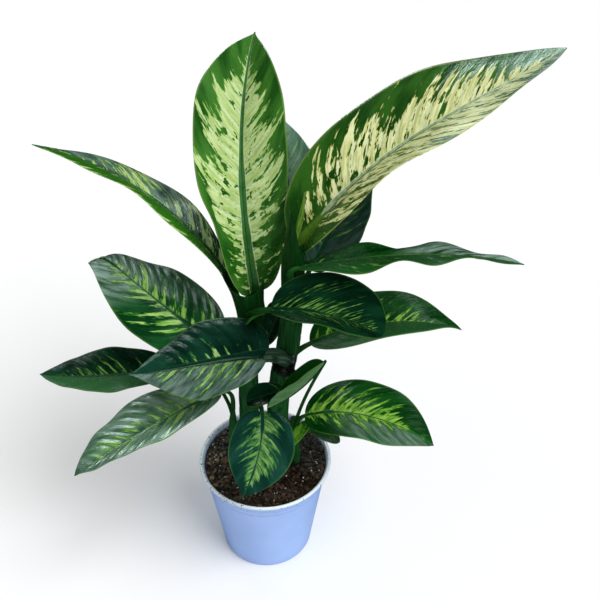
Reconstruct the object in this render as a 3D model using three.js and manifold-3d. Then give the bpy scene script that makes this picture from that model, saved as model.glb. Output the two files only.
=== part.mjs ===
// Potted dieffenbachia: two leafy canes and two small side shoots in a nursery pot.
// Millimetres, +Z up, the origin at the centre of the pot's underside, the front at -Y.
import * as THREE from 'three';
import { mergeVertices } from 'three/addons/utils/BufferGeometryUtils.js';
import Module from 'manifold-3d';

const wasm = await Module();
wasm.setup();

// ---------------------------------------------------------------- sizes
const GAP = 0.3; // what touching pieces keep between them

const POT_HEIGHT = 152;
const POT_BASE_RADIUS = 59;
const POT_SHOULDER_RADIUS = 78.5;
const POT_SHOULDER_Z = 138;
const POT_BAND_RADIUS = 80.5;
const POT_RIM_RADIUS = 85;
const POT_WALL = 2;
const POT_FLOOR = 3;
const LIP_DROP = 4;
const DRAIN_HOLES = 6;
const DRAIN_RADIUS = 4;
const DRAIN_CIRCLE = 38;

const SOIL_TOP = 147;
const SOIL_MOUND = 3;
const SOIL_EDGE_RADIUS = 78;
const SOIL_ROUGHNESS = 1.6;
const CANE_FOOT = 88; // how far down the canes reach into the soil

const BLADE_THICKNESS = 0.8;
const EDGE_CURL = 10; // degrees that each half of a blade bends down by its margin
const MARGIN_SWEEP = 0.45; // how far the margins run ahead of the midrib

// ---------------------------------------------------------------- colours
const LEAF_GREEN = 0x1f5a2c;
const BRIGHT_LEAF = 0x7fa653;
const DARK_LEAF = 0x17452d;
const CANE_GREEN = 0x2c5a26;
const SOIL_BROWN = 0x33261c;
const POT_BLUE = 0x9fb8ea;

// ---------------------------------------------------------------- canes
// Each cane is a run of [x, y, z, radius] from its foot in the soil to its crown.
const CANES = {
  cane_left: [
    [-20, 14, CANE_FOOT, 11],
    [-20, 14, 150, 12],
    [-19, 14, 232, 12.5],
    [-17, 14, 325, 12],
    [-15, 16, 368, 12],
    [-14, 18, 392, 9],
  ],
  cane_right: [
    [15, 6, CANE_FOOT, 12],
    [15, 6, 150, 13],
    [18, 6, 246, 13.5],
    [24, 4, 300, 14],
    [32, 3, 350, 13.5],
    [36, 4, 395, 13],
    [38, 5, 430, 12.5],
    [40, 6, 455, 10.5],
  ],
  shoot_left: [
    [-43, 8, CANE_FOOT, 4.5],
    [-43, 8, 150, 5],
    [-40, 8, 205, 5],
    [-39, 8, 224, 3.5],
  ],
  shoot_right: [
    [40, -2, CANE_FOOT, 5],
    [40, -2, 150, 5.5],
    [38, -2, 205, 5.5],
    [37, -2, 226, 4],
  ],
};

// ---------------------------------------------------------------- leaves
// root     height on the cane where the stalk leaves it
// out      the stalk's first stretch, away from the cane
// base     where the stalk meets the blade
// heading  compass bearing of the midrib at base, middle and tip, degrees from +X
// rise     slope of the midrib at base, middle and tip, degrees above level
// roll     turn of the blade about its midrib at base and tip
// foldLeft, foldRight  how far each half is folded up at base and tip
// widest   where along the midrib the blade is widest; fullness rounds its ends
// point    draws a blunt tip to a point, the shorter the greater it is
// wave     how far the margins ripple, in how many waves; phase shifts them
// droop    from where to the tip the blade turns down, and by how many degrees in all
// stalk    radius at the cane and at the blade; stalkWidth stretches it sideways there
// arrive   how straight the stalk runs on into the midrib, as a share of its length
const LEAVES = {
  leaf_top_centre: {
    cane: 'cane_left', root: 376, out: [2, 2, 8], base: [-8, 25, 405],
    length: 292, width: 115, heading: [118, 91, 70], rise: [75, 63, 47], roll: [-1, -7],
    foldLeft: [38, 30], foldRight: [26, 28], widest: 0.59, fullness: 0.34, point: 6,
    wave: 4, waves: 3.3, stalk: [7, 5], stalkWidth: [2.2, 1.6], stations: 12, across: 3, colour: BRIGHT_LEAF,
  },
  leaf_top_right: {
    cane: 'cane_right', root: 446, out: [1, 1, 14], base: [48, 8, 479],
    length: 340, width: 129, heading: [18, 3, 2], rise: [63, 37, 36], roll: [13, 7],
    foldLeft: [48, 14], foldRight: [37, 17], widest: 0.36, fullness: 0.51,
    wave: 3, waves: 2.2, stalk: [7.5, 5.5], stalkWidth: [1.25, 1.1], stations: 13, across: 3, colour: BRIGHT_LEAF,
  },
  leaf_top_left: {
    cane: 'cane_left', root: 346, out: [-7, 9, 14], base: [-35, 34, 412],
    length: 274, width: 80, heading: [151, 166, 177], rise: [58, 34, 13], roll: [10, 22],
    foldLeft: [25, 7], foldRight: [20, -4], widest: 0.48, fullness: 0.74,
    wave: 2, waves: 2.5, stalk: [7, 4], stalkWidth: [1.9, 1.7], stations: 12, across: 2, colour: LEAF_GREEN,
  },
  leaf_level_right: {
    cane: 'cane_right', root: 424, out: [4, -12, 12], base: [42, -14, 469],
    length: 241, width: 84, heading: [11, -9, -25], rise: [4, 9, 3], roll: [-25, -27],
    foldLeft: [11, 13], foldRight: [-2, 8], widest: 0.33, fullness: 0.45,
    wave: 5, waves: 2.8, phase: 0.65, stalk: [6, 3.5], stations: 13, across: 2, colour: LEAF_GREEN,
  },
  leaf_front_right: {
    cane: 'cane_left', root: 374, out: [5, -18, 20], base: [14, -40, 432],
    length: 125, width: 92, heading: [-8, -17, -24], rise: [10, -2, -15], roll: [-2, -7],
    foldLeft: [59, 37], foldRight: [27, 21], widest: 0.41, fullness: 0.55,
    wave: 1.5, waves: 1.6, stalk: [5.5, 3.5], stations: 9, across: 2, colour: DARK_LEAF,
  },
  leaf_mid_right: {
    cane: 'cane_right', root: 318, out: [10, 1, 8], base: [57, 7, 342],
    length: 183, width: 91, heading: [11, 5, -5], rise: [21, 4, -19], roll: [16, -23],
    foldLeft: [32, 12], foldRight: [26, 22], widest: 0.44, fullness: 0.61,
    wave: 2, waves: 2, stalk: [5, 3], stations: 9, across: 2, colour: LEAF_GREEN,
  },
  leaf_front_left: {
    cane: 'cane_right', root: 326, out: [-4, -26, 12], base: [10, -49, 374],
    length: 162, width: 107, heading: [162, 183, 191], rise: [-18, -11, 5], roll: [-16, -5],
    foldLeft: [13, 8], foldRight: [22, 8], widest: 0.27, fullness: 0.43,
    wave: 2, waves: 2, stalk: [10, 8], stalkWidth: [1.1, 1], stations: 10, across: 2, colour: DARK_LEAF,
  },
  leaf_mid_left: {
    cane: 'cane_left', root: 318, out: [-12, 0, 12], base: [-54, 5, 341],
    length: 209, width: 103, heading: [148, 147, 145], rise: [19, 22, 26], roll: [-22, 12],
    foldLeft: [5, 3], foldRight: [8, -14], widest: 0.29, fullness: 0.42, droop: [0.7, 140],
    wave: 1.5, waves: 2, stalk: [5, 3], stations: 13, across: 2, colour: DARK_LEAF,
  },
  leaf_low_left: {
    cane: 'shoot_left', root: 212, out: [-2, -4, 14], base: [-50, -9, 277],
    length: 196, width: 84, heading: [208, 210, 205], rise: [-1, -14, -22], roll: [-6, 20],
    foldLeft: [22, 28], foldRight: [29, 19], widest: 0.45, fullness: 0.65,
    wave: 2, waves: 2.2, stalk: [3.2, 2.4], stations: 9, across: 2, colour: LEAF_GREEN,
  },
  leaf_back_left: {
    cane: 'shoot_left', root: 216, out: [-8, 30, 26], base: [-111, 36, 273],
    length: 166, width: 74, heading: [185, 185, 174], rise: [-1, -1, 5], roll: [-9, 5],
    foldLeft: [22, 17], foldRight: [32, 17], widest: 0.39, fullness: 0.62,
    wave: 1.5, waves: 2, stalk: [2.6, 2], stations: 8, across: 2, colour: DARK_LEAF,
  },
  leaf_low_right: {
    cane: 'shoot_right', root: 204, out: [4, -5, 10], base: [51, -13, 241],
    length: 166, width: 94, heading: [-9, -18, -23], rise: [28, -1, -26], roll: [8, -4],
    foldLeft: [21, 15], foldRight: [14, 18], widest: 0.37, fullness: 0.56,
    wave: 1.5, waves: 2, stalk: [3.2, 2.6], stations: 9, across: 2, colour: LEAF_GREEN,
  },
  leaf_front_low: {
    cane: 'cane_left', root: 232, out: [4, -14, 16], base: [-1, -23, 259],
    length: 108, width: 81, heading: [-84, -104, -126], rise: [-20, -30, -40], roll: [-12, -20],
    foldLeft: [16, 9], foldRight: [23, 18], widest: 0.29, fullness: 0.47,
    wave: 1, waves: 1.5, stalk: [3.6, 2.8], stations: 8, across: 2, colour: LEAF_GREEN,
  },
  leaf_folded: {
    cane: 'shoot_right', root: 208, out: [6, -8, 60], base: [73, -36, 352], arrive: 0.06,
    length: 88, width: 46, heading: [212, 196, 181], rise: [-48, -40, -26], roll: [2, 17],
    foldLeft: [73, 70], foldRight: [23, 28], widest: 0.37, fullness: 0.48,
    wave: 0, waves: 1, stalk: [2.6, 2], stations: 8, across: 2, colour: LEAF_GREEN,
  },
  leaf_back_centre: {
    cane: 'cane_right', root: 424, out: [-1, 16, 14], base: [39, 50, 469],
    length: 136, width: 75, heading: [98, 106, 103], rise: [58, 53, 50], roll: [6, 12],
    foldLeft: [18, 12], foldRight: [15, 6], widest: 0.36, fullness: 0.64,
    wave: 1.5, waves: 2, stalk: [5, 3], stations: 8, across: 2, colour: DARK_LEAF,
  },
  leaf_back_right: {
    cane: 'cane_right', root: 384, out: [6, 16, 12], base: [56, 49, 418],
    length: 148, width: 87, heading: [44, 33, 21], rise: [45, 53, 52], roll: [15, -19],
    foldLeft: [18, 12], foldRight: [3, 21], widest: 0.43, fullness: 0.6,
    wave: 1.5, waves: 2, stalk: [5, 3], stations: 8, across: 2, colour: DARK_LEAF,
  },
  leaf_behind_canes: {
    cane: 'cane_left', root: 286, out: [4, 10, 8], base: [2, 38, 310],
    length: 61, width: 43, heading: [56, 61, 69], rise: [43, 40, 36], roll: [-20, -15],
    foldLeft: [10, 8], foldRight: [17, 11], widest: 0.46, fullness: 0.6,
    wave: 0, waves: 1, stalk: [3.2, 2], stations: 6, across: 2, colour: DARK_LEAF,
  },
  leaf_between_canes: {
    cane: 'cane_right', root: 276, out: [2, -12, 8], base: [27, -20, 292],
    length: 48, width: 34, heading: [197, 191, 183], rise: [-3, -15, -28], roll: [0, 4],
    foldLeft: [17, 12], foldRight: [44, 28], widest: 0.45, fullness: 0.6,
    wave: 0, waves: 1, stalk: [3, 2], stations: 6, across: 2, colour: DARK_LEAF,
  },
  leaf_young_front: {
    cane: 'shoot_right', root: 160, out: [-4, -10, 8], base: [31, -22, 193],
    length: 50, width: 24, heading: [12, 10, 8], rise: [62, 56, 48], roll: [0, 0],
    foldLeft: [20, 12], foldRight: [20, 12], widest: 0.45, fullness: 0.6,
    wave: 0, waves: 1, stalk: [2.4, 1.8], stations: 5, across: 2, colour: BRIGHT_LEAF,
  },
  leaf_young_right: {
    cane: 'shoot_right', root: 186, out: [4, 4, 6], base: [50, 8, 201],
    length: 50, width: 26, heading: [-22, -23, -24], rise: [4, -11, -25], roll: [0, 0],
    foldLeft: [18, 12], foldRight: [18, 12], widest: 0.45, fullness: 0.6,
    wave: 0, waves: 1, stalk: [2.4, 1.8], stations: 5, across: 2, colour: LEAF_GREEN,
  },
};

// A new leaf, still rolled up, stands in the channel of the top right leaf.
const ROLLED_LEAF = [
  [32, -3, 460, 3.4],
  [34, -5, 480, 4.2],
  [40, -8, 506, 4.6],
  [46, -8, 532, 3.4],
  [50, -6, 560, 0.8],
];

// ---------------------------------------------------------------- helpers
const rad = THREE.MathUtils.degToRad;
const mix = THREE.MathUtils.lerp;

// A smooth value through a at 0, m at 0.5 and b at 1.
function bend(a, m, b, s) {
  return a * (2 * s - 1) * (s - 1) + 4 * m * s * (1 - s) + b * s * (2 * s - 1);
}

function geometryFrom(positions, indices) {
  const geometry = new THREE.BufferGeometry();
  geometry.setAttribute('position', new THREE.Float32BufferAttribute(positions, 3));
  geometry.setIndex(indices);
  return geometry;
}

function solidFrom(geometry) {
  const bare = geometry.clone();
  bare.deleteAttribute('normal');
  bare.deleteAttribute('uv');
  const merged = mergeVertices(bare, 1e-4);
  return new wasm.Manifold(new wasm.Mesh({
    numProp: 3,
    vertProperties: new Float32Array(merged.attributes.position.array),
    triVerts: new Uint32Array(merged.index.array),
  }));
}

function geometryOf(solid) {
  const mesh = solid.getMesh();
  return geometryFrom(Array.from(mesh.vertProperties), Array.from(mesh.triVerts));
}

// A closed round body along points, with a radius at each point. The sections are set out from
// the last one, where tops points, and widths stretch them sideways.
function sweep(points, radii, sides, tops = new THREE.Vector3(1, 0, 0), widths = []) {
  const positions = [];
  const indices = [];
  const last = points.length - 1;
  const rings = [];
  let top = tops;
  for (let i = last; i >= 0; i -= 1) {
    const ahead = points[Math.min(i + 1, last)];
    const behind = points[Math.max(i - 1, 0)];
    const tangent = ahead.clone().sub(behind).normalize();
    top = top.clone().addScaledVector(tangent, -top.dot(tangent)).normalize();
    const other = tangent.clone().cross(top).multiplyScalar(widths[i] ?? 1);
    rings[i] = [top, other];
  }
  points.forEach((point, i) => {
    const [up, other] = rings[i];
    for (let k = 0; k < sides; k += 1) {
      const turn = (2 * Math.PI * k) / sides;
      const vertex = point.clone();
      vertex.addScaledVector(up, radii[i] * Math.cos(turn));
      vertex.addScaledVector(other, radii[i] * Math.sin(turn));
      positions.push(vertex.x, vertex.y, vertex.z);
    }
  });
  for (let i = 0; i < last; i += 1) {
    for (let k = 0; k < sides; k += 1) {
      const a = i * sides + k;
      const b = i * sides + ((k + 1) % sides);
      indices.push(a, b, b + sides, a, b + sides, a + sides);
    }
  }
  for (let k = 1; k < sides - 1; k += 1) {
    indices.push(0, k + 1, k);
    indices.push(last * sides, last * sides + k, last * sides + k + 1);
  }
  return geometryFrom(positions, indices);
}

// Points and radii along a cane, closely enough spaced for a smooth bend.
function alongCane(run, steps) {
  const curve = new THREE.CatmullRomCurve3(run.map(([x, y, z]) => new THREE.Vector3(x, y, z)));
  const points = [];
  const radii = [];
  for (let i = 0; i <= steps; i += 1) {
    const u = (i / steps) * (run.length - 1);
    const k = Math.min(Math.floor(u), run.length - 2);
    points.push(curve.getPoint(i / steps));
    radii.push(mix(run[k][3], run[k + 1][3], u - k));
  }
  return { points, radii };
}

function caneSolid(run, grow) {
  const { points, radii } = alongCane(run, 3 * (run.length - 1));
  const last = points.length - 1;
  points[0].z -= grow;
  points[last].z += grow;
  return solidFrom(sweep(points, radii.map((radius) => radius + grow), 10));
}

// The point of a cane's axis at a height.
function axisAt(run, z) {
  const { points } = alongCane(run, 60);
  return points.reduce((best, point) => (Math.abs(point.z - z) < Math.abs(best.z - z) ? point : best));
}

// ---------------------------------------------------------------- one leaf
function midribOf(leaf, steps) {
  const points = [new THREE.Vector3(...leaf.base)];
  for (let i = 0; i < steps; i += 1) {
    const { tangent } = frameOf(leaf, (i + 0.5) / steps);
    points.push(points[i].clone().addScaledVector(tangent, leaf.length / steps));
  }
  return points;
}

function frameOf(leaf, s) {
  const heading = rad(bend(...leaf.heading, s));
  const [droopFrom, droopBy] = leaf.droop ?? [1, 0];
  const droop = droopBy * (Math.max(s - droopFrom, 0) / Math.max(1 - droopFrom, 0.01)) ** 2;
  const rise = rad(bend(...leaf.rise, s) - droop);
  const roll = rad(mix(leaf.roll[0], leaf.roll[1], s));
  const tangent = new THREE.Vector3(
    Math.cos(rise) * Math.cos(heading),
    Math.cos(rise) * Math.sin(heading),
    Math.sin(rise),
  );
  const level = new THREE.Vector3(-Math.sin(heading), Math.cos(heading), 0);
  const top = tangent.clone().cross(level);
  const side = level.clone().multiplyScalar(Math.cos(roll)).addScaledVector(top, Math.sin(roll));
  const up = top.multiplyScalar(Math.cos(roll)).addScaledVector(level, -Math.sin(roll));
  return { tangent, side, up };
}

// Half the blade's width at s, as a share of its greatest half width.
function outline(leaf, s) {
  const back = (leaf.fullness * (1 - leaf.widest)) / leaf.widest;
  const point = leaf.point ? 1 - s ** leaf.point : 1;
  return (s / leaf.widest) ** leaf.fullness * ((1 - s) / (1 - leaf.widest)) ** back * point;
}

// A point of the blade and its upward normal: s runs from base to tip, t from -1 to 1.
function bladePoint(leaf, midrib, s, t) {
  const u = s * (midrib.length - 1);
  const k = Math.min(Math.floor(u), midrib.length - 2);
  const point = midrib[k].clone().lerp(midrib[k + 1], u - k);
  const { tangent, side, up } = frameOf(leaf, s);
  const left = t >= 0;
  const hand = left ? 1 : -1;
  const reach = Math.abs(t);
  const folds = left ? leaf.foldLeft : leaf.foldRight;
  const fold = rad(mix(folds[0], folds[1], s));
  const curl = rad(EDGE_CURL);
  const share = outline(leaf, s);
  const half = Math.max((leaf.width / 2) * share, 1);
  const lateral = (half * (Math.sin(fold) - Math.sin(fold - curl * reach))) / curl;
  const lift = (half * (Math.cos(fold - curl * reach) - Math.cos(fold))) / curl;
  const phase = (leaf.phase ?? 0) + (left ? 0 : 0.5);
  const ripple = leaf.wave * share * reach ** 2 * Math.sin(2 * Math.PI * (leaf.waves * s + phase));
  const ahead = MARGIN_SWEEP * half * reach ** 1.6 * Math.min(s / 0.25, 1);
  point.addScaledVector(side, hand * lateral);
  point.addScaledVector(up, lift + ripple);
  point.addScaledVector(tangent, ahead);
  const slope = reach === 0 ? 0 : fold - curl * reach;
  const normal = up.clone().multiplyScalar(Math.cos(slope));
  normal.addScaledVector(side, -hand * Math.sin(slope));
  return { point, normal };
}

function bladeGeometry(leaf, midrib) {
  const rows = leaf.stations;
  const columns = 2 * leaf.across + 1;
  const positions = [];
  const indices = [];
  for (const face of [1, -1]) {
    for (let i = 0; i <= rows; i += 1) {
      const even = i / rows;
      const s = 0.5 * even + 0.25 * (1 - Math.cos(Math.PI * even));
      for (let j = 0; j < columns; j += 1) {
        const { point, normal } = bladePoint(leaf, midrib, s, (2 * j) / (columns - 1) - 1);
        point.addScaledVector(normal, (face * BLADE_THICKNESS) / 2);
        positions.push(point.x, point.y, point.z);
      }
    }
  }
  const under = (rows + 1) * columns;
  for (let i = 0; i < rows; i += 1) {
    for (let j = 0; j < columns - 1; j += 1) {
      const a = i * columns + j;
      const b = a + 1;
      const c = b + columns;
      const d = a + columns;
      indices.push(a, c, b, a, d, c);
      indices.push(under + a, under + b, under + c, under + a, under + c, under + d);
    }
    for (const [j, flip] of [[0, true], [columns - 1, false]]) {
      const a = i * columns + j;
      const b = a + columns;
      if (flip) indices.push(a, under + b, b, a, under + a, under + b);
      else indices.push(a, b, under + b, a, under + b, under + a);
    }
  }
  for (let j = 0; j < columns - 1; j += 1) {
    const a = j;
    const b = rows * columns + j;
    indices.push(a, a + 1, under + a + 1, a, under + a + 1, under + a);
    indices.push(b, under + b + 1, b + 1, b, under + b, under + b + 1);
  }
  return geometryFrom(positions, indices);
}

// How far along the blade the rib under it shows.
function ribEndOf(leaf) {
  return leaf.droop ? leaf.droop[0] : 0.9;
}

// The stalk, from inside its cane to the blade, and on under the blade as its midrib.
function stalkRun(leaf, midrib, grow) {
  const start = axisAt(CANES[leaf.cane], leaf.root);
  const end = new THREE.Vector3(...leaf.base);
  const { tangent } = frameOf(leaf, 0);
  const reach = (leaf.arrive ?? 0.35) * start.distanceTo(end);
  const curve = new THREE.CubicBezierCurve3(
    start,
    start.clone().add(new THREE.Vector3(...leaf.out)),
    end.clone().addScaledVector(tangent, -reach),
    end,
  );
  const points = [];
  const radii = [];
  const widths = [];
  const [wideLow, wideHigh] = leaf.stalkWidth ?? [1, 1];
  const steps = 6;
  for (let i = 0; i <= steps; i += 1) {
    points.push(curve.getPoint(i / steps));
    radii.push(mix(leaf.stalk[0], leaf.stalk[1], i / steps) + grow);
    widths.push(mix(wideLow, wideHigh, i / steps));
  }
  const ribSteps = Math.round(leaf.stations * 0.6);
  const ribEnd = ribEndOf(leaf);
  for (let i = 1; i <= ribSteps; i += 1) {
    const s = (ribEnd * i) / ribSteps;
    const radius = mix(leaf.stalk[1], 0.8, Math.sqrt(s / ribEnd)) * 0.75 + 0.2;
    const { point, normal } = bladePoint(leaf, midrib, s, 0);
    points.push(point.addScaledVector(normal, BLADE_THICKNESS / 2 - radius));
    radii.push(radius + grow);
  }
  return { points, radii, widths };
}

function stalkSolid(leaf, midrib, grow) {
  const { points, radii, widths } = stalkRun(leaf, midrib, grow);
  const { up } = frameOf(leaf, ribEndOf(leaf));
  return solidFrom(sweep(points, radii, 6, up, widths));
}

// ---------------------------------------------------------------- pot and soil
function innerRadiusAt(z) {
  return mix(POT_BASE_RADIUS, POT_SHOULDER_RADIUS, z / POT_SHOULDER_Z) - POT_WALL;
}

function potGeometry() {
  const profile = [
    [0, 0],
    [POT_BASE_RADIUS - 2, 0],
    [POT_BASE_RADIUS, 2],
    [mix(POT_BASE_RADIUS, POT_SHOULDER_RADIUS, 0.5), POT_SHOULDER_Z / 2],
    [POT_SHOULDER_RADIUS, POT_SHOULDER_Z],
    [POT_BAND_RADIUS, POT_SHOULDER_Z + 1],
    [POT_BAND_RADIUS + 1.2, POT_HEIGHT - LIP_DROP - 1],
    [POT_RIM_RADIUS - 0.8, POT_HEIGHT - LIP_DROP],
    [POT_RIM_RADIUS, POT_HEIGHT - LIP_DROP + 1.2],
    [POT_RIM_RADIUS, POT_HEIGHT - 1.2],
    [POT_RIM_RADIUS - 1.2, POT_HEIGHT],
    [POT_RIM_RADIUS - 4, POT_HEIGHT],
    [POT_BAND_RADIUS - 0.5, POT_HEIGHT - 2],
    [innerRadiusAt(POT_SHOULDER_Z) + 0.6, POT_SHOULDER_Z + 2],
    [innerRadiusAt(POT_SHOULDER_Z), POT_SHOULDER_Z],
    [innerRadiusAt(POT_FLOOR), POT_FLOOR],
    [0, POT_FLOOR],
  ].map(([radius, z]) => new THREE.Vector2(radius, z));
  let pot = solidFrom(new THREE.LatheGeometry(profile, 56).rotateX(Math.PI / 2));
  for (let i = 0; i < DRAIN_HOLES; i += 1) {
    const turn = (2 * Math.PI * i) / DRAIN_HOLES;
    const hole = new THREE.CylinderGeometry(DRAIN_RADIUS, DRAIN_RADIUS, 4 * POT_FLOOR, 12);
    hole.rotateX(Math.PI / 2);
    hole.translate(DRAIN_CIRCLE * Math.cos(turn), DRAIN_CIRCLE * Math.sin(turn), 0);
    pot = pot.subtract(solidFrom(hole));
  }
  return geometryOf(pot);
}

// Seeded noise, so the soil comes out alike each time.
function seededRandom(seed) {
  let state = seed;
  return () => {
    state = (state * 1664525 + 1013904223) % 4294967296;
    return state / 4294967296;
  };
}

function soilGeometry() {
  const random = seededRandom(7);
  const sides = 24;
  const rings = [
    [innerRadiusAt(POT_FLOOR + GAP) - GAP, POT_FLOOR + GAP],
    [innerRadiusAt(POT_SHOULDER_Z) - GAP, POT_SHOULDER_Z],
    [innerRadiusAt(POT_SHOULDER_Z) + 0.6 - GAP, POT_SHOULDER_Z + 2],
    [SOIL_EDGE_RADIUS, SOIL_TOP - 1.5],
  ];
  for (const share of [0.86, 0.68, 0.5, 0.32, 0.15]) {
    rings.push([SOIL_EDGE_RADIUS * share, SOIL_TOP + SOIL_MOUND * (1 - share)]);
  }
  const positions = [];
  const indices = [];
  rings.forEach(([radius, z], i) => {
    for (let k = 0; k < sides; k += 1) {
      const turn = (2 * Math.PI * k) / sides;
      const rough = i > 3 ? SOIL_ROUGHNESS * (random() - 0.5) * 2 : 0;
      positions.push(radius * Math.cos(turn), radius * Math.sin(turn), z + rough);
    }
  });
  const low = positions.length / 3;
  positions.push(0, 0, POT_FLOOR + GAP, 0, 0, SOIL_TOP + SOIL_MOUND);
  for (let k = 0; k < sides; k += 1) {
    const next = (k + 1) % sides;
    const top = (rings.length - 1) * sides;
    indices.push(low, next, k, low + 1, top + k, top + next);
    for (let i = 0; i < rings.length - 1; i += 1) {
      const a = i * sides + k;
      const b = i * sides + next;
      indices.push(a, b, b + sides, a, b + sides, a + sides);
    }
  }
  let soil = solidFrom(geometryFrom(positions, indices));
  for (const run of Object.values(CANES)) {
    soil = soil.subtract(caneSolid(run, GAP));
  }
  return geometryOf(soil);
}

// ---------------------------------------------------------------- the plant
const plant = new THREE.Group();

function addPiece(name, geometry, colour, roughness) {
  const material = new THREE.MeshStandardMaterial({ color: colour, roughness, metalness: 0 });
  const mesh = new THREE.Mesh(geometry, material);
  mesh.name = name;
  plant.add(mesh);
}

addPiece('pot', potGeometry(), POT_BLUE, 0.4);
addPiece('soil', soilGeometry(), SOIL_BROWN, 0.95);

for (const [name, run] of Object.entries(CANES)) {
  addPiece(name, geometryOf(caneSolid(run, 0)), CANE_GREEN, 0.5);
}

const grownCanes = Object.values(CANES).map((run) => caneSolid(run, GAP));
const grownStalks = [];
for (const [name, leaf] of Object.entries(LEAVES)) {
  const midrib = midribOf(leaf, 40);
  let solid = solidFrom(bladeGeometry(leaf, midrib)).add(stalkSolid(leaf, midrib, 0));
  for (const cutter of [...grownCanes, ...grownStalks]) {
    solid = solid.subtract(cutter);
  }
  grownStalks.push(stalkSolid(leaf, midrib, GAP));
  addPiece(name, geometryOf(solid), leaf.colour, 0.35);
}

let rolledLeaf = solidFrom(sweep(
  ROLLED_LEAF.map(([x, y, z]) => new THREE.Vector3(x, y, z)),
  ROLLED_LEAF.map(([, , , radius]) => radius),
  8,
));
for (const cutter of [...grownCanes, ...grownStalks]) {
  rolledLeaf = rolledLeaf.subtract(cutter);
}
addPiece('rolled_leaf', geometryOf(rolledLeaf), BRIGHT_LEAF, 0.35);

export default plant;
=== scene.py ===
"""Potted dieffenbachia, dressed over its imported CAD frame.

Metres, +Z up, the pot's underside at the origin and the front at -Y. The tables of canes and
leaves hold millimetres and degrees, because they repeat the values that shape the CAD solids.
"""

import math

import bmesh
import bpy
import numpy as np
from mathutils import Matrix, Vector, noise


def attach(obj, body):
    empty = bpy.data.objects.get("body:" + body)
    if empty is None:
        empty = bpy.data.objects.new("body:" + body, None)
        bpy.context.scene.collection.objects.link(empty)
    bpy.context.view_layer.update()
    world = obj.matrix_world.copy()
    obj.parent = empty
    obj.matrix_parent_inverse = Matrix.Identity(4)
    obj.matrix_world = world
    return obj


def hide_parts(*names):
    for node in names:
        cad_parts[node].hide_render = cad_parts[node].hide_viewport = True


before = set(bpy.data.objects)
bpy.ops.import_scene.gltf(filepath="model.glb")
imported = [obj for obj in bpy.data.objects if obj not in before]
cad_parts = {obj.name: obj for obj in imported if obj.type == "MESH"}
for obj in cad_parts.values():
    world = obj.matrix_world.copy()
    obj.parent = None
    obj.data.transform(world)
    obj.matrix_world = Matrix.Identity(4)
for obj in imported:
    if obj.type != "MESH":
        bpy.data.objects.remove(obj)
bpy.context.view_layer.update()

MM = 0.001

# ------------------------------------------------------------------ sizes, in millimetres
POT_HEIGHT = 152
POT_BASE_RADIUS = 59
POT_SHOULDER_RADIUS = 78.5
POT_SHOULDER_Z = 138
POT_BAND_RADIUS = 80.5
POT_RIM_RADIUS = 85
POT_WALL = 2
POT_STEP_OUT = 0.6  # the inner wall steps out and up by these above the shoulder
POT_STEP_UP = 2
POT_FLOOR = 3
DRAIN_HOLES = 6
DRAIN_RADIUS = 4
DRAIN_CIRCLE = 38
SOIL_TOP = 147
SOIL_MOUND = 3
SOIL_EDGE_RADIUS = 78
CANE_FOOT = 88
GAP = 0.3

BLADE_THICKNESS = 0.8
EDGE_CURL = 10  # degrees that each half of a blade bends down by its margin
MARGIN_SWEEP = 0.45  # how far the margins run ahead of the midrib
LIP_BEGIN = 0.76  # where across a half the rolled margin starts

# Mesh sizes: a blade's steps along and across in millimetres, and how many sides the round bodies have.
ROW_STEP = 1.8
COLUMN_STEP = 4
STALK_STEPS = 20
STALK_SIDES = 18
CANE_SIDES = 28
ROLLED_SIDES = 32
POT_SIDES = 160
SOIL_SIDES = 120
CRUMBS = 2300

# Each cane is a run of (x, y, z, radius) from its foot in the soil to its crown.
CANES = {
    "cane_left": [
        (-20, 14, CANE_FOOT, 11), (-20, 14, 150, 12), (-19, 14, 232, 12.5), (-17, 14, 325, 12),
        (-15, 16, 368, 12), (-14, 18, 392, 9),
    ],
    "cane_right": [
        (15, 6, CANE_FOOT, 12), (15, 6, 150, 13), (18, 6, 246, 13.5), (24, 4, 300, 14), (32, 3, 350, 13.5),
        (36, 4, 395, 13), (38, 5, 430, 12.5), (40, 6, 455, 10.5),
    ],
    "shoot_left": [(-43, 8, CANE_FOOT, 4.5), (-43, 8, 150, 5), (-40, 8, 205, 5), (-39, 8, 224, 3.5)],
    "shoot_right": [(40, -2, CANE_FOOT, 5), (40, -2, 150, 5.5), (38, -2, 205, 5.5), (37, -2, 226, 4)],
}

# The shape of a leaf, in the order of its row.
LEAF_COLUMNS = (
    "cane", "root",  # the cane that its stalk leaves, and at what height
    "out",  # the stalk's first stretch, away from the cane
    "base",  # where the stalk meets the blade
    "length", "width",
    "heading",  # bearing of the midrib at base, middle and tip, degrees from +X
    "rise",  # slope of the midrib at base, middle and tip, degrees above level
    "roll",  # turn of the blade about its midrib at base and tip
    "fold_left", "fold_right",  # how far each half is folded up at base and tip
    "widest", "fullness",  # where along the midrib it is widest, and how round its ends are
    "wave", "waves",  # how far the margins ripple, and in how many waves
    "stalk",  # radius at the cane and at the blade
)
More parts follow.
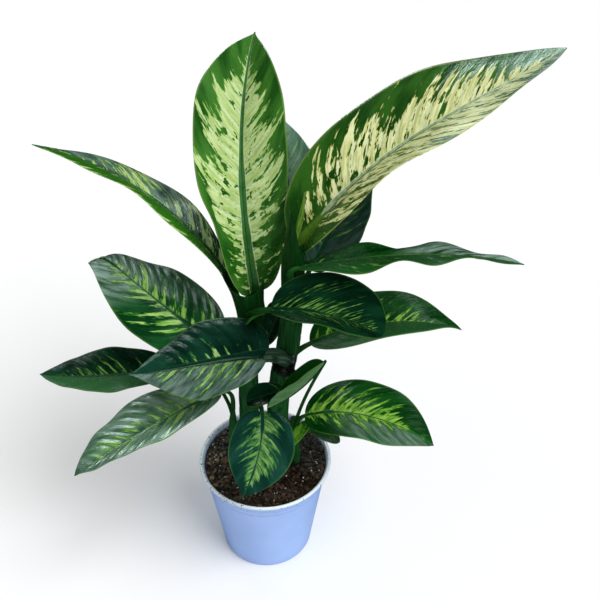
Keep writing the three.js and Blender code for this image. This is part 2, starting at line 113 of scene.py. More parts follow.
# What a leaf has unless its row says otherwise.
LEAF_DEFAULTS = {
    "arrive": 0.35,  # how straight the stalk runs on into the midrib, as a share of its length
    "stalk_width": (1, 1),  # stretches the stalk sideways at the cane and at the blade
    "stalk_look": "green",
    "phase": 0,  # shifts the ripple along the margins
    "quilt": 0.7,  # how far the blade rises between its side veins, millimetres
    "lean": (0.55, 1.15),  # how far forward the side veins run, near the base and near the tip
    "fan": 0,  # how much further forward they run at the base
    "vein_width": 0.35,
    "rib_width": 1,
    "light": (0, 0),  # how much of its lighter green the left and right half show
    "zone": (0, 0.93),  # where along the midrib the pale zone starts and ends
    "taper": 0,  # how much sparser the marks get away from the midrib
    "marble": 0,  # how much the pale zone breaks up near the base
    "band": 0.4,  # how strongly the pale marks keep between the side veins
    "bloom": (0, 0, 0),  # how much painted sheen, a silvery grey standing in for gloss highlights, the left and right half get, and where along the midrib that starts
}
# Every leaf also has
# style    which colours it has
# spread   how far the pale zone reaches on the left and right half, as a share of the half
# solid    how closed that zone is on each half: 0.6 has few gaps, below 0 leaves only streaks
# and some have
# point    draws a blunt tip to a point, over a shorter stretch the greater it is
# droop    from where to the tip the blade turns down, and by how many degrees in all
# rim      flecks along the margin of the left half, from below 0 for none
# rib_foot how far the midrib's light foot spreads, millimetres
# lip      a stretch of margin rolled over: side (1 left), from, to, degrees
# under    the colours of the under side, where they aren't those of the style


def leaf_of(*row, **more):
    return {**LEAF_DEFAULTS, **dict(zip(LEAF_COLUMNS, row)), **more}


LEAVES = {
    "leaf_top_centre": leaf_of(
        "cane_left", 376, (2, 2, 8), (-8, 25, 405), 292, 115, (118, 91, 70), (75, 63, 47), (-1, -7), (38, 30),
        (26, 28), 0.59, 0.34, 4, 3.3, (7, 5), point=6, stalk_width=(2.2, 1.6),
        style="bright", spread=(0.8, 0.74), solid=(0.85, 0.65), taper=0.25, marble=0.75, zone=(-0.05, 0.93),
        band=0.3, quilt=0.9, lip=(1, 0.02, 0.4, 80), lean=(0.15, 1.3), vein_width=0.3, rib_width=1.7,
    ),
    "leaf_top_right": leaf_of(
        "cane_right", 446, (1, 1, 14), (48, 8, 479), 340, 129, (18, 3, 2), (63, 37, 36), (13, 7), (48, 14),
        (37, 17), 0.36, 0.51, 3, 2.2, (7.5, 5.5), stalk_width=(1.25, 1.1),
        style="cream", spread=(0.58, 1.15), solid=(0.45, 0.4), marble=0.6, zone=(0, 1), band=0.45, quilt=1,
        rib_foot=12, bloom=(0.7, 0.7, 0.85),
    ),
    "leaf_top_left": leaf_of(
        "cane_left", 346, (-7, 9, 14), (-35, 34, 412), 274, 80, (151, 166, 177), (58, 34, 13), (10, 22),
        (25, 7), (20, -4), 0.48, 0.74, 2, 2.5, (7, 4), stalk_width=(1.9, 1.7),
        style="mottled", light=(1, 0), spread=(0.15, 0.75), solid=(-0.3, 0), zone=(0, 0.9), rim=-0.05,
        bloom=(0, 0.55, 0.3),
    ),
    "leaf_level_right": leaf_of(
        "cane_right", 424, (4, -12, 12), (42, -14, 469), 241, 84, (11, -9, -25), (4, 9, 3), (-25, -27),
        (11, 13), (-2, 8), 0.33, 0.45, 5, 2.8, (6, 3.5), phase=0.65,
        style="green", light=(0, 0.5), spread=(0.4, 0.75), solid=(-0.5, -0.3), zone=(-0.1, 0.75), band=0.6,
        bloom=(1, 0.1, 0.5),
    ),
    "leaf_front_right": leaf_of(
        "cane_left", 374, (5, -18, 20), (14, -40, 432), 125, 92, (-8, -17, -24), (10, -2, -15), (-2, -7),
        (59, 37), (27, 21), 0.41, 0.55, 1.5, 1.6, (5.5, 3.5),
        style="fine", spread=(0.65, 0.65), solid=(0.22, 0.25), taper=0.6, zone=(-0.1, 0.95), band=0.25,
        fan=0.9, quilt=0.4, stalk_look="sheath",
    ),
    "leaf_mid_right": leaf_of(
        "cane_right", 318, (10, 1, 8), (57, 7, 342), 183, 91, (11, 5, -5), (21, 4, -19), (16, -23), (32, 12),
        (26, 22), 0.44, 0.61, 2, 2, (5, 3),
        style="green", light=(0, 1), spread=(0.5, 0.3), solid=(0.3, -0.35), taper=0.5, zone=(0.05, 0.9),
        band=0.5,
    ),
    "leaf_front_left": leaf_of(
        "cane_right", 326, (-4, -26, 12), (10, -49, 374), 162, 107, (162, 183, 191), (-18, -11, 5), (-16, -5),
        (13, 8), (22, 8), 0.27, 0.43, 2, 2, (10, 8), stalk_width=(1.1, 1),
        style="dark", spread=(0.75, 0.45), solid=(0.4, -0.05), taper=0.6, band=0.8, quilt=2.1,
        lean=(0.2, 0.9), stalk_look="grey", bloom=(0.45, 0, 0),
    ),
    "leaf_mid_left": leaf_of(
        "cane_left", 318, (-12, 0, 12), (-54, 5, 341), 209, 103, (148, 147, 145), (19, 22, 26), (-22, 12),
        (5, 3), (8, -14), 0.29, 0.42, 1.5, 2, (5, 3), droop=(0.7, 140),
        style="lush", spread=(0.65, 0.62), solid=(0.5, 0.5), taper=1, zone=(-0.05, 0.8), band=1.05, quilt=2.5,
        bloom=(1, 0.9, 0.56),
    ),
    "leaf_low_left": leaf_of(
        "shoot_left", 212, (-2, -4, 14), (-50, -9, 277), 196, 84, (208, 210, 205), (-1, -14, -22), (-6, 20),
        (22, 28), (29, 19), 0.45, 0.65, 2, 2.2, (3.2, 2.4),
        style="grey", spread=(0.8, 0.7), solid=(0.32, 0.3), taper=0.6, band=0.7, quilt=2.2,
        bloom=(0.45, 0.6, 0),
    ),
    "leaf_back_left": leaf_of(
        "shoot_left", 216, (-8, 30, 26), (-111, 36, 273), 166, 74, (185, 185, 174), (-1, -1, 5), (-9, 5),
        (22, 17), (32, 17), 0.39, 0.62, 1.5, 2, (2.6, 2),
        style="fine", light=(1, 0), spread=(0.1, 0.58), solid=(-0.5, 0.12), taper=0.5, zone=(0.1, 0.9),
    ),
    "leaf_low_right": leaf_of(
        "shoot_right", 204, (4, -5, 10), (51, -13, 241), 166, 94, (-9, -18, -23), (28, -1, -26), (8, -4),
        (21, 15), (14, 18), 0.37, 0.56, 1.5, 2, (3.2, 2.6),
        style="green", spread=(0.7, 0.64), solid=(0.6, 0.45), taper=0.7, zone=(-0.05, 0.8), band=0.45,
        quilt=1.4, bloom=(0, 0.45, 0.3),
    ),
    "leaf_front_low": leaf_of(
        "cane_left", 232, (4, -14, 16), (-1, -23, 259), 108, 81, (-84, -104, -126), (-20, -30, -40),
        (-12, -20), (16, 9), (23, 18), 0.29, 0.47, 1, 1.5, (3.6, 2.8),
        style="teal", spread=(0.62, 0.58), solid=(0.7, 0.62), taper=0.6, band=0.25, quilt=0.6,
    ),
    "leaf_folded": leaf_of(
        "shoot_right", 208, (6, -8, 60), (73, -36, 352), 88, 46, (212, 196, 181), (-48, -40, -26), (2, 17),
        (73, 70), (23, 28), 0.37, 0.48, 0, 1, (2.6, 2), arrive=0.06,
        style="green", under="pale", spread=(0.3, 0.3), solid=(-0.5, -0.5), band=0.3,
    ),
    "leaf_back_centre": leaf_of(
        "cane_right", 424, (-1, 16, 14), (39, 50, 469), 136, 75, (98, 106, 103), (58, 53, 50), (6, 12),
        (18, 12), (15, 6), 0.36, 0.64, 1.5, 2, (5, 3),
        style="back", spread=(0.7, 0.7), solid=(-0.1, -0.1), band=0.8, quilt=1.3,
    ),
    "leaf_back_right": leaf_of(
        "cane_right", 384, (6, 16, 12), (56, 49, 418), 148, 87, (44, 33, 21), (45, 53, 52), (15, -19),
        (18, 12), (3, 21), 0.43, 0.6, 1.5, 2, (5, 3),
        style="teal", spread=(0.7, 0.7), solid=(-0.2, -0.2), band=1, quilt=1.3, bloom=(0.15, 0.15, 0),
    ),
    "leaf_behind_canes": leaf_of(
        "cane_left", 286, (4, 10, 8), (2, 38, 310), 61, 43, (56, 61, 69), (43, 40, 36), (-20, -15), (10, 8),
        (17, 11), 0.46, 0.6, 0, 1, (3.2, 2),
        style="fine", spread=(0.8, 0.8), solid=(-0.4, -0.4), band=0.3,
    ),
    "leaf_between_canes": leaf_of(
        "cane_right", 276, (2, -12, 8), (27, -20, 292), 48, 34, (197, 191, 183), (-3, -15, -28), (0, 4),
        (17, 12), (44, 28), 0.45, 0.6, 0, 1, (3, 2),
        style="fine", spread=(0.6, 0.6), solid=(-0.6, -0.6), band=0.5,
    ),
    "leaf_young_front": leaf_of(
        "shoot_right", 160, (-4, -10, 8), (31, -22, 193), 50, 24, (12, 10, 8), (62, 56, 48), (0, 0), (20, 12),
        (20, 12), 0.45, 0.6, 0, 1, (2.4, 1.8),
        style="young", spread=(0.9, 0.9), solid=(0.5, 0.5),
    ),
    "leaf_young_right": leaf_of(
        "shoot_right", 186, (4, 4, 6), (50, 8, 201), 50, 26, (-22, -23, -24), (4, -11, -25), (0, 0), (18, 12),
        (18, 12), 0.45, 0.6, 0, 1, (2.4, 1.8),
        style="green", light=(0.6, 0.6), spread=(0.4, 0.4), solid=(-0.4, -0.4),
    ),
}

# A new leaf, still rolled up, stands in the channel of the top right leaf.
ROLLED_LEAF = [
    (32, -3, 460, 3.4), (34, -5, 480, 4.2), (40, -8, 506, 4.6), (46, -8, 532, 3.4), (50, -6, 560, 0.8),
]

# The sheaths round the two crowns, as x, y, z and radius.
SHEATH_RIGHT = [(36, 3, 392, 14.5), (38, 3, 430, 14), (39, 2, 465, 13.5), (42, 0, 500, 12), (45, -3, 540, 10)]
SHEATH_LEFT = [
    (-14, 15, 345, 13.5), (-11, 15, 378, 16), (-13, 15, 400, 17), (-16, 15, 420, 19.5), (-19, 15, 440, 22.5),
]
# The dead sheath on the right cane: its middle and its half sizes.
COLLAR_PLACE = (28, -19, 332)
COLLAR_SIZE = (14, 13, 14)

rng = np.random.default_rng(11)


# ------------------------------------------------------------------ small maths
def mix(a, b, share):
    return a + (b - a) * share


def smooth(x, low, high):
    share = np.clip((x - low) / (high - low), 0, 1)
    return share * share * (3 - 2 * share)


def bend(values, s):
    """A smooth value through the first at 0, the second at 0.5 and the third at 1."""
    a, m, b = values
    return a * (2 * s - 1) * (s - 1) + 4 * m * s * (1 - s) + b * s * (2 * s - 1)


def unit(vectors):
    return vectors / np.linalg.norm(vectors, axis=-1, keepdims=True)


def catmull(points, count):
    """Points of a smooth curve through the given ones, count steps to each span."""
    points = np.array(points, float)
    padded = np.vstack([2 * points[0] - points[1], points, 2 * points[-1] - points[-2]])
    out = []
    for i in range(len(points) - 1):
        p0, p1, p2, p3 = padded[i : i + 4]
        for u in np.arange(count) / count:
            out.append(
                0.5 * (2 * p1 + (p2 - p0) * u + (2 * p0 - 5 * p1 + 4 * p2 - p3) * u**2
                       + (3 * p1 - p0 - 3 * p2 + p3) * u**3)
            )
    out.append(points[-1])
    return np.array(out)


# ------------------------------------------------------------------ the blade's formula
def frame_of(leaf, s):
    heading = np.radians(bend(leaf["heading"], s))
    droop_from, droop_by = leaf.get("droop", (1, 0))
    droop = droop_by * (np.maximum(s - droop_from, 0) / max(1 - droop_from, 0.01)) ** 2
    rise = np.radians(bend(leaf["rise"], s) - droop)
    roll = np.radians(mix(*leaf["roll"], s))[..., None]
    tangent = np.stack([np.cos(rise) * np.cos(heading), np.cos(rise) * np.sin(heading), np.sin(rise)], -1)
    level = np.stack([-np.sin(heading), np.cos(heading), 0 * heading], -1)
    top = np.cross(tangent, level)
    side = level * np.cos(roll) + top * np.sin(roll)
    up = top * np.cos(roll) - level * np.sin(roll)
    return tangent, side, up


def midrib_of(leaf, steps=40):
    tangent = frame_of(leaf, (np.arange(steps) + 0.5) / steps)[0]
    along = np.cumsum(tangent, 0) * leaf["length"] / steps
    return np.vstack([[0, 0, 0], along]) + np.array(leaf["base"], float)


def outline(leaf, s):
    back = leaf["fullness"] * (1 - leaf["widest"]) / leaf["widest"]
    point = 1 - s ** leaf["point"] if "point" in leaf else 1
    return (s / leaf["widest"]) ** leaf["fullness"] * ((1 - s) / (1 - leaf["widest"])) ** back * point


def blade_points(leaf, s, t):
    """Points and upward normals of the blade in millimetres, s from base to tip, t from -1 to 1."""
    midrib = midrib_of(leaf)
    u = s * (len(midrib) - 1)
    k = np.minimum(u.astype(int), len(midrib) - 2)
    point = mix(midrib[k], midrib[k + 1], (u - k)[..., None])
    tangent, side, up = frame_of(leaf, s)
    left = t >= 0
    hand = np.where(left, 1, -1)
    reach = np.abs(t)
    fold = np.radians(np.where(left, mix(*leaf["fold_left"], s), mix(*leaf["fold_right"], s)))
    curl = math.radians(EDGE_CURL)
    share = outline(leaf, s)
    half = np.maximum(leaf["width"] / 2 * share, 1)
    lateral = half * (np.sin(fold) - np.sin(fold - curl * reach)) / curl
    lift = half * (np.cos(fold - curl * reach) - np.cos(fold)) / curl
    phase = leaf["phase"] + np.where(left, 0, 0.5)
    ripple = leaf["wave"] * share * reach**2 * np.sin(2 * np.pi * (leaf["waves"] * s + phase))
    ahead = MARGIN_SWEEP * half * reach**1.6 * np.minimum(s / 0.25, 1)
    rolled_lateral, rolled_lift, rolled_slope = roll_over(leaf, s, reach, left, fold - curl * reach, half)
    lateral, lift = lateral + rolled_lateral, lift + rolled_lift
    slope = np.where(reach == 0, 0, fold - curl * reach) + rolled_slope
    normal = up * np.cos(slope)[..., None] - side * (hand * np.sin(slope))[..., None]
    point = point + side * (hand * lateral)[..., None] + up * (lift + ripple)[..., None]
    point = point + tangent * ahead[..., None]
    return point, normal, half


def vein_place(leaf, s, t, half):
    """Where along the midrib, in millimetres, the side vein through each point starts."""
    reach = np.abs(t)
    lean = mix(*leaf["lean"], s) + leaf["fan"] * (1 - s)
    forward = lean * reach + 0.3 * reach**3 - MARGIN_SWEEP * reach**1.6 * np.minimum(s / 0.25, 1)
    return s * leaf["length"] - forward * half


def pale_share(leaf, s, t, spread):
    """How surely a point lies in the pale zone: above 0 inside it, below 0 in the green edge."""
    start, end = leaf["zone"]
    opening = 0.35 + 0.65 * smooth(s, start, start + 0.22)
    closing = np.maximum(1 - smooth(s, end - 0.35, end + 0.02), 0) ** 0.6
    inside = (spread * opening * closing - np.abs(t)) / 0.45
    solid = np.where(t >= 0, *leaf["solid"]) - leaf["marble"] * (1 - smooth(s, 0.05, 0.4))
    pale = np.minimum(inside, solid - leaf["taper"] * np.abs(t) / np.abs(spread))
    if "rim" in leaf:
        pale = np.maximum(pale, np.where(t > 0, leaf["rim"] + 2.5 * (t - 1), -9))
    return np.clip(pale, -1.5, 1.5)


def drift(place, scale, local):
    """Slow random swell along the blade, about -1 to 1, so that no two side veins are marked alike."""
    total = 0
    for wavelength in (2.3, 3.7, 6.1):
        total = total + np.sin(2 * np.pi * (place / (scale * wavelength) + local.uniform()))
    return total / 1.8


def roll_over(leaf, s, reach, left, fold, half):
    """Extra sideways and upward travel and slope, where a stretch of margin is rolled over."""
    if "lip" not in leaf:
        return 0, 0, 0
    side, low, high, degrees = leaf["lip"]
    on_side = left if side == 1 else ~left
    middle = mix(low, high, 0.5)
    bump = smooth(s, low, middle) * (1 - smooth(s, middle, high)) * on_side
    turn = np.maximum(math.radians(degrees) * bump, 1e-4)
    share = np.maximum(reach - LIP_BEGIN, 0) / (1 - LIP_BEGIN)
    strip = half * (1 - LIP_BEGIN)
    arc = strip / turn
    lateral = arc * (np.sin(fold + turn * share) - np.sin(fold)) - strip * share * np.cos(fold)
    lift = arc * (np.cos(fold) - np.cos(fold + turn * share)) - strip * share * np.sin(fold)
    return lateral, lift, turn * share


# ------------------------------------------------------------------ meshes
def add_object(name, data, location=(0, 0, 0)):
    made = bpy.data.objects.new(name, data)
    made.location = location
    bpy.context.collection.objects.link(made)
    return made


def mesh_piece(name, verts, faces, materials, face_slots=None, uv=None, fields=None, smooth_faces=True):
    """A mesh object from arrays. verts in millimetres; uv and fields have one row to each vertex."""
    mesh = bpy.data.meshes.new(name)
    mesh.from_pydata((np.asarray(verts) * MM).tolist(), [], [list(map(int, f)) for f in faces])
    for material in materials:
        mesh.materials.append(material)
    if face_slots is not None:
        mesh.polygons.foreach_set("material_index", np.asarray(face_slots, np.int32))
    mesh.polygons.foreach_set("use_smooth", [smooth_faces] * len(mesh.polygons))
    corner = np.empty(len(mesh.loops), np.int32)
    mesh.loops.foreach_get("vertex_index", corner)
    if uv is not None:
        layer = mesh.uv_layers.new(name="Vein")
        layer.data.foreach_set("uv", np.asarray(uv, np.float32)[corner].ravel())
    for field, values in (fields or {}).items():
        attribute = mesh.attributes.new(field, "FLOAT", "POINT")
        attribute.data.foreach_set("value", np.asarray(values, np.float32))
    mesh.update()
    return add_object(name, mesh)


def hand_over(piece, slot, *nodes):
    """Makes the piece ride the one body, in place of the CAD nodes that it stands for."""
    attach(piece, "root")
    if nodes:
        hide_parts(*nodes)


def grid_faces(rows, columns, first=0, flip=False, wrap=False):
    """Quads of a grid of vertices; with wrap the columns close into a ring."""
    i, j = np.meshgrid(np.arange(rows - 1), np.arange(columns if wrap else columns - 1), indexing="ij")
    after = (j + 1) % columns
    this_row, next_row = i * columns, (i + 1) * columns
    quads = np.stack([this_row + j, next_row + j, next_row + after, this_row + after], -1)
    quads = quads.reshape(-1, 4) + first
    return quads[:, ::-1] if flip else quads


def closed_faces(rings, sides):
    """Faces of a body of rings of vertices, closed by one vertex at its start and one at its end."""
    faces = [list(f) for f in grid_faces(rings, sides, flip=True, wrap=True)]
    low, high, last = rings * sides, rings * sides + 1, (rings - 1) * sides
    for k in range(sides):
        after = (k + 1) % sides
        faces += [[low, after, k], [high, last + k, last + after]]
    return faces


def angles(sides):
    return 2 * np.pi * np.arange(sides) / sides


def level_ring(radius, z, sides):
    angle = angles(sides)
    return np.stack([radius * np.cos(angle), radius * np.sin(angle), np.full(sides, z)], -1)


def run_of(points):
    """How far along the line through the points each of them lies."""
    return np.concatenate([[0], np.cumsum(np.linalg.norm(np.diff(points, axis=0), axis=1))])


def tube_uv(points, around, start=0):
    """Texture places of a tube, in centimetres along it and by around; its two end points come last."""
    uv = np.stack(np.broadcast_arrays((run_of(points) / 10)[:, None], around), -1).reshape(-1, 2) + start
    return np.vstack([uv, uv[:1], uv[-1:]])


def closed_sheet(top, under):
    """Vertices and groups of quads of a thin closed sheet: its upper side, its under side, its four edges."""
    rows, columns = top.shape[:2]
    count = rows * columns
    i = np.arange(rows - 1) * columns
    j = np.arange(columns - 1)
    k = i + columns - 1
    end = (rows - 1) * columns
    faces = [
        grid_faces(rows, columns),
        grid_faces(rows, columns, first=count, flip=True),
        np.stack([i, i + count, i + columns + count, i + columns], -1),
        np.stack([k, k + columns, k + columns + count, k + count], -1),
        np.stack([j, j + 1, j + 1 + count, j + count], -1),
        np.stack([j, j + count, j + 1 + count, j + 1], -1) + end,
    ]
    return np.vstack([top.reshape(-1, 3), under.reshape(-1, 3)]), faces


def frames_along(points, top):
    """The upward and sideways directions along points, carried back from the last one."""
    tangent = unit(np.gradient(points, axis=0))
    ups = np.empty_like(points)
    up = np.array(top, float)
    for i in range(len(points) - 1, -1, -1):
        up = up - tangent[i] * (up @ tangent[i])
        up = up / np.linalg.norm(up)
        ups[i] = up
    return ups, np.cross(tangent, ups)


def tube(points, radii, sides, top=(1, 0, 0), widths=None, shape=None):
    """Vertices and faces of a closed body along points, its sections set out from the last one.

    top is the way up at the last point, widths stretch the sections sideways, and
    shape(share, angle) scales the radius, with angle 0 at the top.
    """
    points = np.asarray(points, float)
    ups, others = frames_along(points, top)
    widths = np.ones(len(points)) if widths is None else widths
    angle = angles(sides)
    rings = []
    for i, point in enumerate(points):
        radius = np.full(sides, float(radii[i]))
        if shape is not None:
            radius = radius * shape(i / (len(points) - 1), angle)
        across = others[i] * widths[i]
        up_part = ups[i] * (radius * np.cos(angle))[:, None]
        rings.append(point + up_part + across * (radius * np.sin(angle))[:, None])
    return np.vstack([*rings, points[:1], points[-1:]]), closed_faces(len(points), sides)


# ------------------------------------------------------------------ materials
class Graph:
    """A short way to write a material's nodes."""

    def __init__(self, name):
        self.material = bpy.data.materials.new(name)
        self.material.use_nodes = True
        self.nodes = self.material.node_tree.nodes
        self.links = self.material.node_tree.links
        self.shader = self.nodes["Principled BSDF"]

    def feed(self, socket, value):
        """Links value to the socket where it comes from another node, and sets it otherwise."""
        if isinstance(value, bpy.types.NodeSocket):
            self.links.new(value, socket)
        else:
            socket.default_value = value

    def node(self, kind, inputs=(), **settings):
        made = self.nodes.new(kind)
        for key, value in settings.items():
            setattr(made, key, value)
        for key, value in dict(inputs).items():
            self.feed(made.inputs[key], value)
        return made

    def field(self, name):
        return self.node("ShaderNodeAttribute", attribute_name=name).outputs["Fac"]

    def uv(self):
        return self.node("ShaderNodeUVMap", uv_map="Vein").outputs["UV"]

    def place(self):
        return self.node("ShaderNodeTexCoord").outputs["Object"]

    def noise(self, vector, scale, detail=2.0, rough=0.5, stretch=None):
        if stretch is not None:
            vector = self.node("ShaderNodeMapping", {"Vector": vector, "Scale": stretch}).outputs["Vector"]
        inputs = {"Vector": vector, "Scale": scale, "Detail": detail, "Roughness": rough}
        return self.node("ShaderNodeTexNoise", inputs).outputs["Fac"]

    def maths(self, operation, a, b=0.0, c=0.0):
        return self.node("ShaderNodeMath", {0: a, 1: b, 2: c}, operation=operation).outputs["Value"]

    def sway(self, value, strength, base):
        """base, moved up and down by how far a noise is from its middle."""
        return self.maths("MULTIPLY_ADD", self.maths("SUBTRACT", value, 0.5), strength, base)

    def step(self, value, low, high):
        made = self.node("ShaderNodeMapRange", {"Value": value, "From Min": low, "From Max": high})
        made.interpolation_type = "SMOOTHSTEP"
        return made.outputs["Result"]

    def tint(self, colour, field, strength, new):
        """colour, turned towards new by a field times a strength."""
        return self.blend(self.maths("MULTIPLY", field, strength), colour, new)

    def blend(self, share, a, b, way="MIX"):
        """A mix of two colours, each a socket or red, green and blue."""
        a, b = ((*value, 1) if isinstance(value, tuple) else value for value in (a, b))
        made = self.node("ShaderNodeMix", data_type="RGBA", blend_type=way)
        for key, value in zip(MIX_SOCKETS, (share, a, b)):
            self.feed(made.inputs[key], value)
        return made.outputs[2]

    def finish(self, colour, roughness, height=None, depth=0.0005, strength=1.0, **constants):
        self.feed(self.shader.inputs["Base Color"], colour)
        self.feed(self.shader.inputs["Roughness"], roughness)
        for key, value in constants.items():
            self.shader.inputs[key.replace("_", " ")].default_value = value
        if height is not None:
            bump = self.node("ShaderNodeBump", {"Height": height, "Distance": depth, "Strength": strength})
            self.links.new(bump.outputs["Normal"], self.shader.inputs["Normal"])
        return self.material


MIX_SOCKETS = (0, 6, 7)  # a colour mix node's factor and its two colours
# A silvery grey painted into the leaves' colour: painted sheen that stands in for the gloss highlights of the
# windows.
PAINTED_SHEEN_COLOUR = (0.3, 0.44, 0.37)


def leaf_top(style, body, pales, vein, rib, streak=(1, 1), crisp=0.07, gloss=0.5, break_up=2.2, blot=0.4):
    """Upper face: a green body, a pale zone broken into streaks along the side veins, and the midrib.

    body is a deep, a middle and a light green, pales run from the fringe of a mark to its middle.
    streak is how fine the streaks are across and along the veins, crisp how soft their fringe is,
    break_up how ragged they are, and blot how much the dark flecks in the pale zone take away.
    """
    g = Graph(f"leaf_{style}_top")
    uv = g.uv()
    across, along = streak
    fingers = g.noise(uv, 1.0, 2.0, 0.5, (1.25 * across, 0.3 * along, 1.0))
    flecks = g.noise(uv, 1.0, 2.0, 0.55, (2.6 * across, 0.95 * along, 1.0))
    fine = g.noise(uv, 1.0, 2.0, 0.5, (8.0, 2.6, 1.0))
    marks = g.sway(fine, 0.8, g.sway(flecks, break_up, g.sway(fingers, 2.6, g.field("pale"))))
    blots = g.step(g.noise(uv, 1.0, 3.0, 0.65, (1.0, 0.6, 1.0)), 0.56, 0.66)
    marks = g.maths("MULTIPLY_ADD", blots, -blot, marks)
    broad = g.noise(uv, 0.3, 2.0, 0.5)
    green = g.blend(g.step(broad, 0.38, 0.62), body[0], body[1])
    veins = g.field("vein")
    green = g.tint(green, veins, 0.3, body[1])
    green = g.blend(g.field("light"), green, body[2])
    # Painted sheen: silvery patches that stand in for gloss highlights, as strong as the sheen field says.
    sheen_patches = g.step(g.noise(uv, 1.0, 4.0, 0.6, (0.9, 0.4, 1.0)), 0.3, 0.72)
    green = g.tint(green, sheen_patches, g.field("bloom"), PAINTED_SHEEN_COLOUR)
    tone = g.step(g.noise(uv, 1.0, 3.0, 0.6, (2.2, 0.5, 1.0)), 0.36, 0.64)
    middle = g.blend(tone, pales[2], pales[1])
    middle = g.tint(middle, veins, 0.85, vein)
    colour = g.blend(g.step(marks, 0.0, crisp), green, pales[0])
    colour = g.blend(g.step(marks, crisp, crisp * 3 + 0.05), colour, middle)
    colour = g.tint(colour, g.step(g.field("rib"), 0.02, 0.3), 0.5, vein)
    striped = g.tint(rib, g.step(fingers, 0.35, 0.65), 0.5, green)
    colour = g.blend(g.step(g.field("rib"), 0.4, 0.8), colour, striped)
    colour = g.tint(colour, g.field("edge"), 0.4, pales[1])
    grain = g.noise(uv, 16.0, 2.0, 0.5)
    pucker = g.noise(uv, 1.0, 3.0, 0.55, (3.2, 1.0, 1.0))
    height = g.maths("MULTIPLY_ADD", grain, 0.15, pucker)
    rough = g.maths("MULTIPLY_ADD", g.noise(uv, 1.6, 3.0), 0.2, 0.16)
    return g.finish(colour, rough, height, depth=0.002, strength=0.45, Specular_IOR_Level=gloss)


def leaf_under(style, green, pale, rib):
    g = Graph(f"leaf_{style}_under")
    uv = g.uv()
    body = g.blend(g.step(g.noise(uv, 0.8, 3.0), 0.35, 0.65), green, pale)
    body = g.tint(body, g.field("vein"), 0.4, rib)
    colour = g.blend(g.field("rib"), body, rib)
    grain = g.noise(uv, 1.0, 3.0, 0.5, (6.0, 2.0, 1.0))
    return g.finish(colour, 0.48, grain, depth=0.0006, strength=0.45, Specular_IOR_Level=0.3)


def stalk(name, green, pale, dark, gloss=0.1):
    g = Graph(name)
    uv = g.uv()
    stripes = g.noise(uv, 1.0, 3.0, 0.6, (0.35, 5.0, 1.0))
    body = g.blend(g.step(stripes, 0.35, 0.68), green, pale)
    patches = g.noise(uv, 0.8, 3.0, 0.6)
    colour = g.blend(g.step(patches, 0.58, 0.75), body, dark)
    height = g.maths("ADD", stripes, g.noise(uv, 9.0, 2.0))
    return g.finish(colour, 0.42, height, depth=0.0005, strength=0.5, Specular_IOR_Level=gloss)


